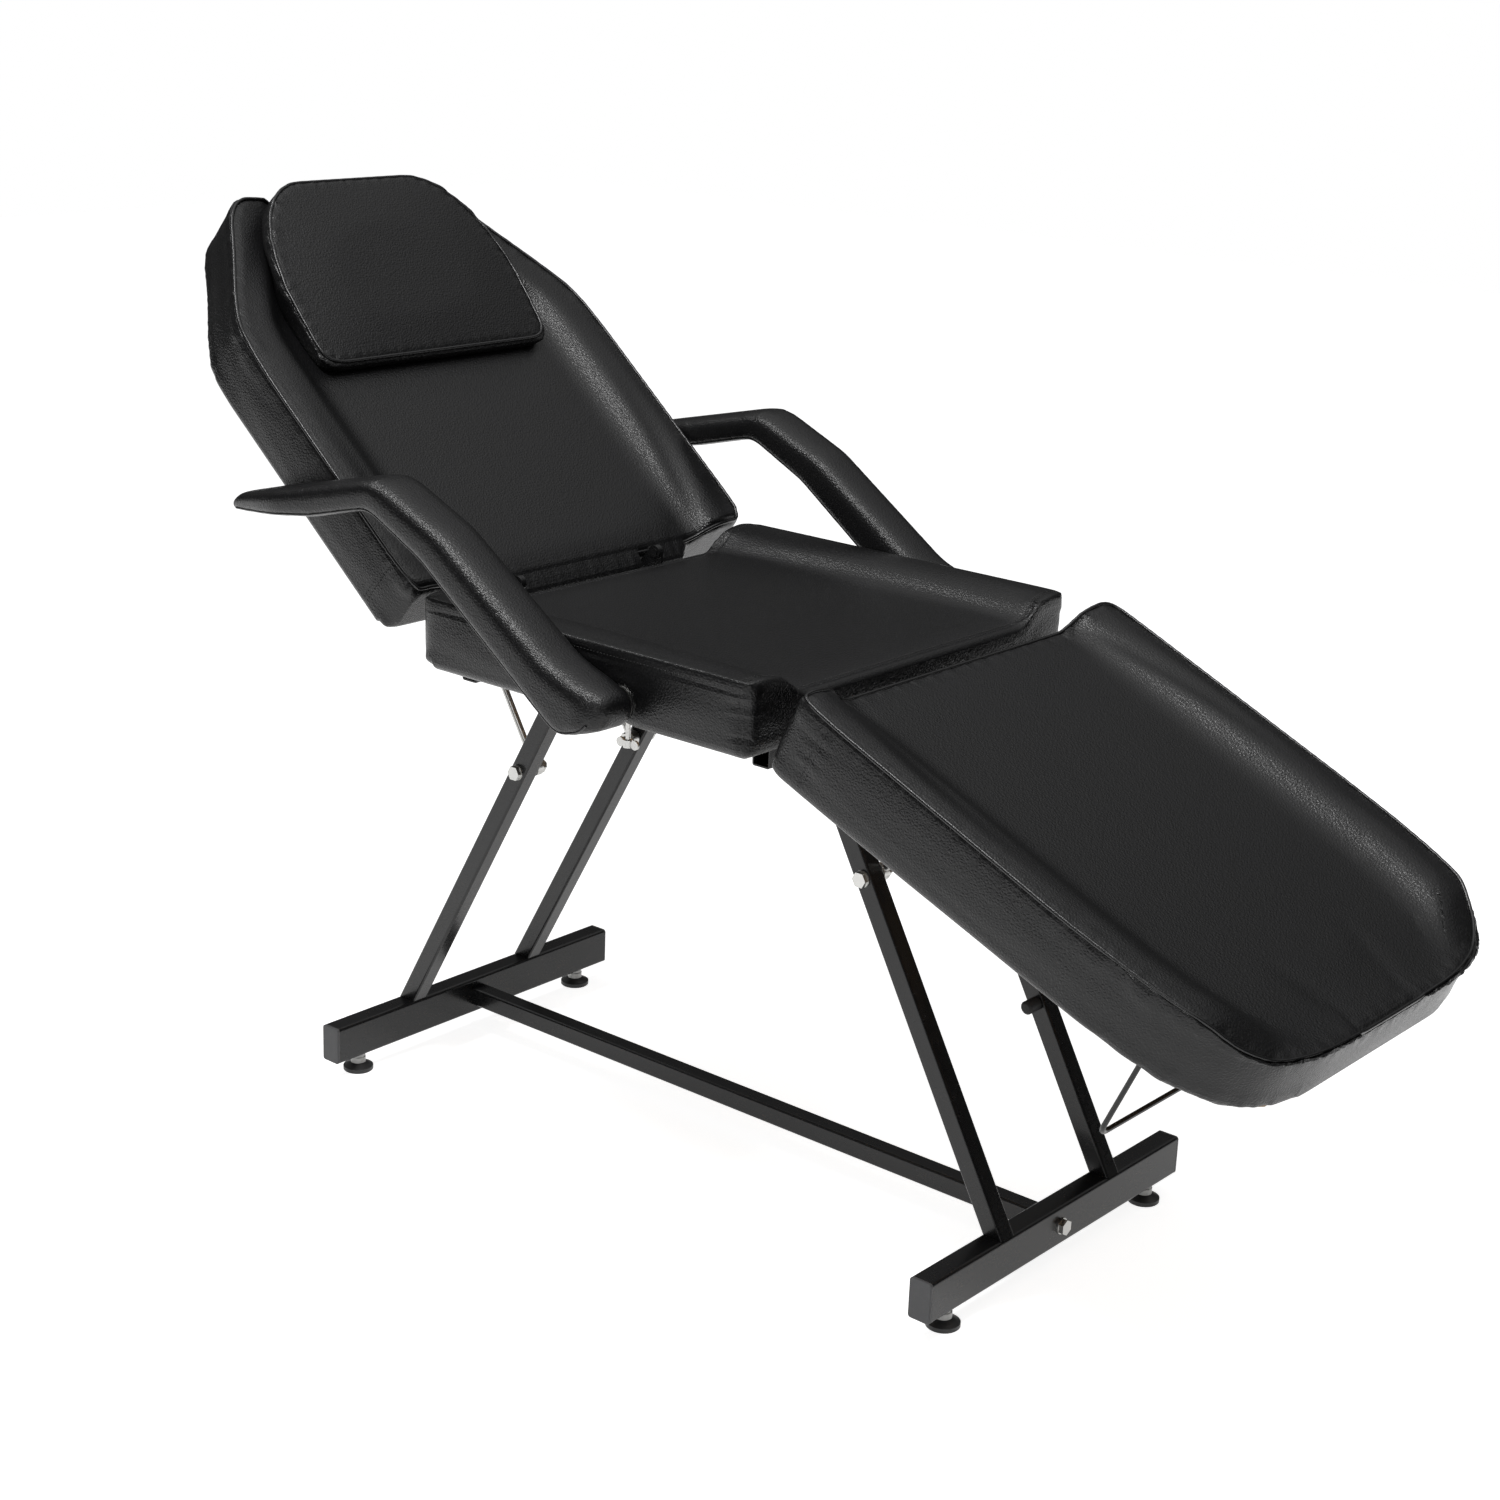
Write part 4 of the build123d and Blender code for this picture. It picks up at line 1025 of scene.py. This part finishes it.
def stitch_row(form, tree, path, offset, length=0.0034, pitch=0.0050, radius=0.00042):
    """Adds stitches along a path, shifted sideways on the surface, to a bmesh."""
    even = even_path(path, pitch, closed=False)
    for here, after in zip(even, even[1:]):
        along = (Vector(after) - Vector(here)).normalized()
        near, normal, _, _ = tree.find_nearest(Vector(here))
        side = normal.cross(along).normalized()
        spot, normal, _, _ = tree.find_nearest(near + side * offset)
        turned = Matrix((along, normal.cross(along).normalized(), normal)).transposed().to_4x4()
        turned.translation = spot + normal * radius * 0.6
        stretch = Matrix.Diagonal((length / 2, radius, radius, 1))
        bmesh.ops.create_uvsphere(form, u_segments=6, v_segments=4, radius=1, matrix=turned @ stretch)


def sewn_seam(name, piece, bench, body, path, rows=(-0.0032, 0.0032), groove=(0.007, 0.0012)):
    """A pressed seam with a row of stitches on each side."""
    press_line(piece, even_path(path, 0.002, closed=False), *groove)
    tree = surface_tree(piece)
    form = bmesh.new()
    for offset in rows:
        stitch_row(form, tree, path, offset)
    mesh = bpy.data.meshes.new(name)
    form.to_mesh(mesh)
    count = len(form.verts) // points_per_stitch
    form.free()
    trims.append((show(mesh, name, [thread]), bench, body))
    print(name, "has about", count, "stitches")


def down_path(tree, start, end, count=160):
    """Points straight below a line above the pad, on its top."""
    found = []
    for number in range(count + 1):
        spot = Vector(start).lerp(Vector(end), number / count)
        hit, _, _, _ = tree.ray_cast(Vector((spot.x, spot.y, 0.4)), Vector((0, 0, -1)))
        if hit is not None:
            found.append(hit)
    return found


def side_path(tree, start, end, side, count=160):
    """Points beside a line outside the pad, on its flank. side is -1 or 1, along Y."""
    found = []
    for number in range(count + 1):
        spot = Vector(start).lerp(Vector(end), number / count)
        hit, _, _, _ = tree.ray_cast(Vector((spot.x, 0.6 * side, spot.z)), Vector((0, -side, 0)))
        if hit is not None:
            found.append(hit)
    return found


print("stitch helpers ready")

# %% Seams of the seat
seat_tree = surface_tree(seat_pad)
front_seam_x, rear_seam_x, seam_half = 0.503, 0.015, 0.297
for name, x in (("seat_front_seam", front_seam_x), ("seat_rear_seam", rear_seam_x)):
    path = down_path(seat_tree, (x, -seam_half, 0), (x, seam_half, 0))
    sewn_seam(name, seat_pad, "seat", "base", path)
for name, side in (("near", -1), ("far", 1)):
    sewn_seam(
        "seat_flank_seam_" + name, seat_pad, "seat", "base",
        side_path(seat_tree, (0.008, 0, 0.073), (0.510, 0, 0.073), side), rows=(0.0032,),
    )
    sewn_seam(
        "seat_corner_seam_" + name, seat_pad, "seat", "base",
        side_path(seat_tree, (front_seam_x, 0, 0.072), (front_seam_x, 0, 0.006), side, 40),
    )

# %% Seams of the leg rest and backrest
flank_seam_x = 0.050
leg_tree = surface_tree(leg_pad)
back_tree = surface_tree(back_pad)
for name, side in (("near", -1), ("far", 1)):
    sewn_seam(
        "leg_flank_seam_" + name, leg_pad, "leg", "leg_rest",
        side_path(leg_tree, (flank_seam_x, 0, 0.076), (flank_seam_x, 0, 0.006), side, 40),
    )
    sewn_seam(
        "back_flank_seam_" + name, back_pad, "back", "backrest",
        side_path(back_tree, (flank_seam_x, 0, 0.076), (flank_seam_x, 0, 0.006), side, 40),
    )


# %% [markdown]
# ## Puckers
# Where a flat sheet is sewn round a corner, the spare length gathers into small folds that run away
# from the seam and die out. They are too fine for the voxels of the simulation, so they are pressed
# in afterwards: a wave along the seam, uneven by noise, that fades with the distance from it.

# %% Pucker helper
pucker_step = 0.003


def pucker(piece, path, reach, depth, wave, seed):
    """Gathers a pad's surface along a path."""
    line = even_path(path, pucker_step, closed=False)
    search = KDTree(len(line))
    for number, point in enumerate(line):
        search.insert(Vector(point), number)
    search.balance()
    mesh = piece.data
    points, outward = coordinates(mesh), normals_of(mesh)
    shift = np.zeros(len(points))
    for index, point in enumerate(points):
        _, number, distance = search.find(Vector(point))
        if distance < reach:
            run = number * pucker_step
            uneven = noise.noise(Vector((run * 60, seed, distance * 20)))
            fade = (1 - distance / reach) ** 2 * min(1, distance / 0.004)
            shift[index] = depth * fade * (math.sin(2 * math.pi * run / wave + 3 * uneven) + 0.6 * uneven)
    set_coordinates(mesh, points + outward * shift[:, None])


for side in (-1, 1):
    seam_top, seam_low = (front_seam_x, 0, 0.072), (front_seam_x, 0, 0.012)
    path = side_path(surface_tree(seat_pad), seam_top, seam_low, side, 40)
    pucker(seat_pad, path, 0.035, 0.0007, 0.017, 3 + side)
    seam_top, seam_low = (flank_seam_x, 0, 0.074), (flank_seam_x, 0, 0.012)
    path = side_path(surface_tree(leg_pad), seam_top, seam_low, side, 40)
    pucker(leg_pad, path, 0.035, 0.0005, 0.019, 7 + side)
pucker(back_pad, back_rim, 0.030, 0.0005, 0.034, 11)
pucker(leg_pad, leg_rim, 0.030, 0.0005, 0.031, 13)
pucker(pillow_pad, pillow_rim, 0.024, 0.0006, 0.022, 17)
print("puckers pressed in")


# %% [markdown]
# ## Armrest seams
# Each armrest is a bent foam block in one long cover, closed by a narrow strip below. The join shows
# as a thin raised line along the lower edge on both sides. Rays from below find that edge.

# %% Armrest seams
def below_path(tree, x_from, x_to, y, count=200):
    """Points straight above a line under the armrest, on its underside. The line narrows with the tip."""
    found = []
    for number in range(count + 1):
        x = x_from + (x_to - x_from) * number / count
        side = math.copysign(arm_inner + (abs(y) - arm_inner) * float(narrowing(x)), y)
        hit, _, _, _ = tree.ray_cast(Vector((x, side, -0.5)), Vector((0, 0, 1)))
        if hit is not None:
            found.append(hit)
    return found


for name, sign in (("near", -1), ("far", 1)):
    pad = arm_pads[name]
    points = coordinates(pad.data)
    low, high = points.min(0), points.max(0)
    for place, y in (("inner", sign * 0.3130), ("outer", sign * 0.3772)):
        path = below_path(surface_tree(pad), low[0] + 0.012, high[0] - 0.010, y)
        even = even_path(path, path_step, closed=False)
        press_line(pad, even, 0.007, 0.0010)
        laid = on_surface(surface_tree(pad), even, 0.0003)
        seam = cord_piece(f"armrest_seam_{name}_{place}", laid, 0.0015, welt_vinyl, False)
        trims.append((seam, name, "armrest_" + name))
    print("armrest", name, "seams laid")

# %% [markdown]
# ## Fitting
# The headrest only lies on the backrest, so no point of it may dip into the pad below. Its underside
# is lifted to a hair above the back pad, and the seat's foam is pushed clear of the armrest sockets.
# Then every pad goes from its bench to its place and replaces its CAD solid, and pads and trims
# are hung on the body that carries them.

# %% Clear the headrest
headrest_air = 0.0010
back_tree = surface_tree(back_pad)
points = coordinates(pillow_pad.data)
lifted = 0
for index, point in enumerate(points):
    hit, _, _, _ = back_tree.ray_cast(Vector((point[0], point[1], 0.3)), Vector((0, 0, -1)))
    if hit is not None and point[2] < hit.z + headrest_air:
        points[index][2] = hit.z + headrest_air
        lifted += 1
set_coordinates(pillow_pad.data, points)
print("lifted", lifted, "points of the headrest")

# %% Clear the sockets
socket_half, bored_half = 0.0127, 0.0128
socket_middle = np.array([socket_x, 0, socket_z])
points = coordinates(seat_pad.data)
away = abs(points - socket_middle)
near_bar = (away[:, 1] > 0.117) & (away[:, 0] < socket_half) & (away[:, 2] < socket_half)
offset = points[near_bar] - socket_middle
across = abs(offset[:, 0]) > abs(offset[:, 2])
offset[across, 0] = np.where(offset[across, 0] < 0, -bored_half, bored_half)
offset[~across, 2] = np.where(offset[~across, 2] < 0, -bored_half, bored_half)
points[near_bar] = offset + socket_middle
set_coordinates(seat_pad.data, points)
print("cleared", int(near_bar.sum()), "points round the sockets")

# %% Put the covers in place
for name, bar in bar_place.items():
    benches[name] = Matrix.Translation((bar.x, 0, bar.z))
covers = (
    (seat_pad, "seat", "base", "seat_cushion", 0.8),
    (back_pad, "back", "backrest", "back_cushion", 0.8),
    (leg_pad, "leg", "leg_rest", "leg_rest_cushion", 0.8),
    (pillow_pad, "back", "headrest", "headrest", 0.7),
    (arm_pads["near"], "near", "armrest_near", "arm_pad_near", 0.8),
    (arm_pads["far"], "far", "armrest_far", "arm_pad_far", 0.8),
)
for piece, bench, body, node, fill in covers:
    piece.data.transform(benches[bench])
    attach(piece, body)
    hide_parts(node)
for piece, bench, body in trims:
    piece.data.transform(benches[bench])
    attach(piece, body)
print(len(covers), "covers and", len(trims), "trims in place")

# %% [markdown]
# ## Growth past the CAD box
# The dressed chair may stand out of its CAD box only by a little, since fabric is soft. How far
# it stands out on each side is printed.

# %% Print how far it grew
low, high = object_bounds()
below, above = (cad_low - low) * 1000, (high - cad_high) * 1000
print("grown by mm", [round(value, 1) for value in below], [round(value, 1) for value in above])
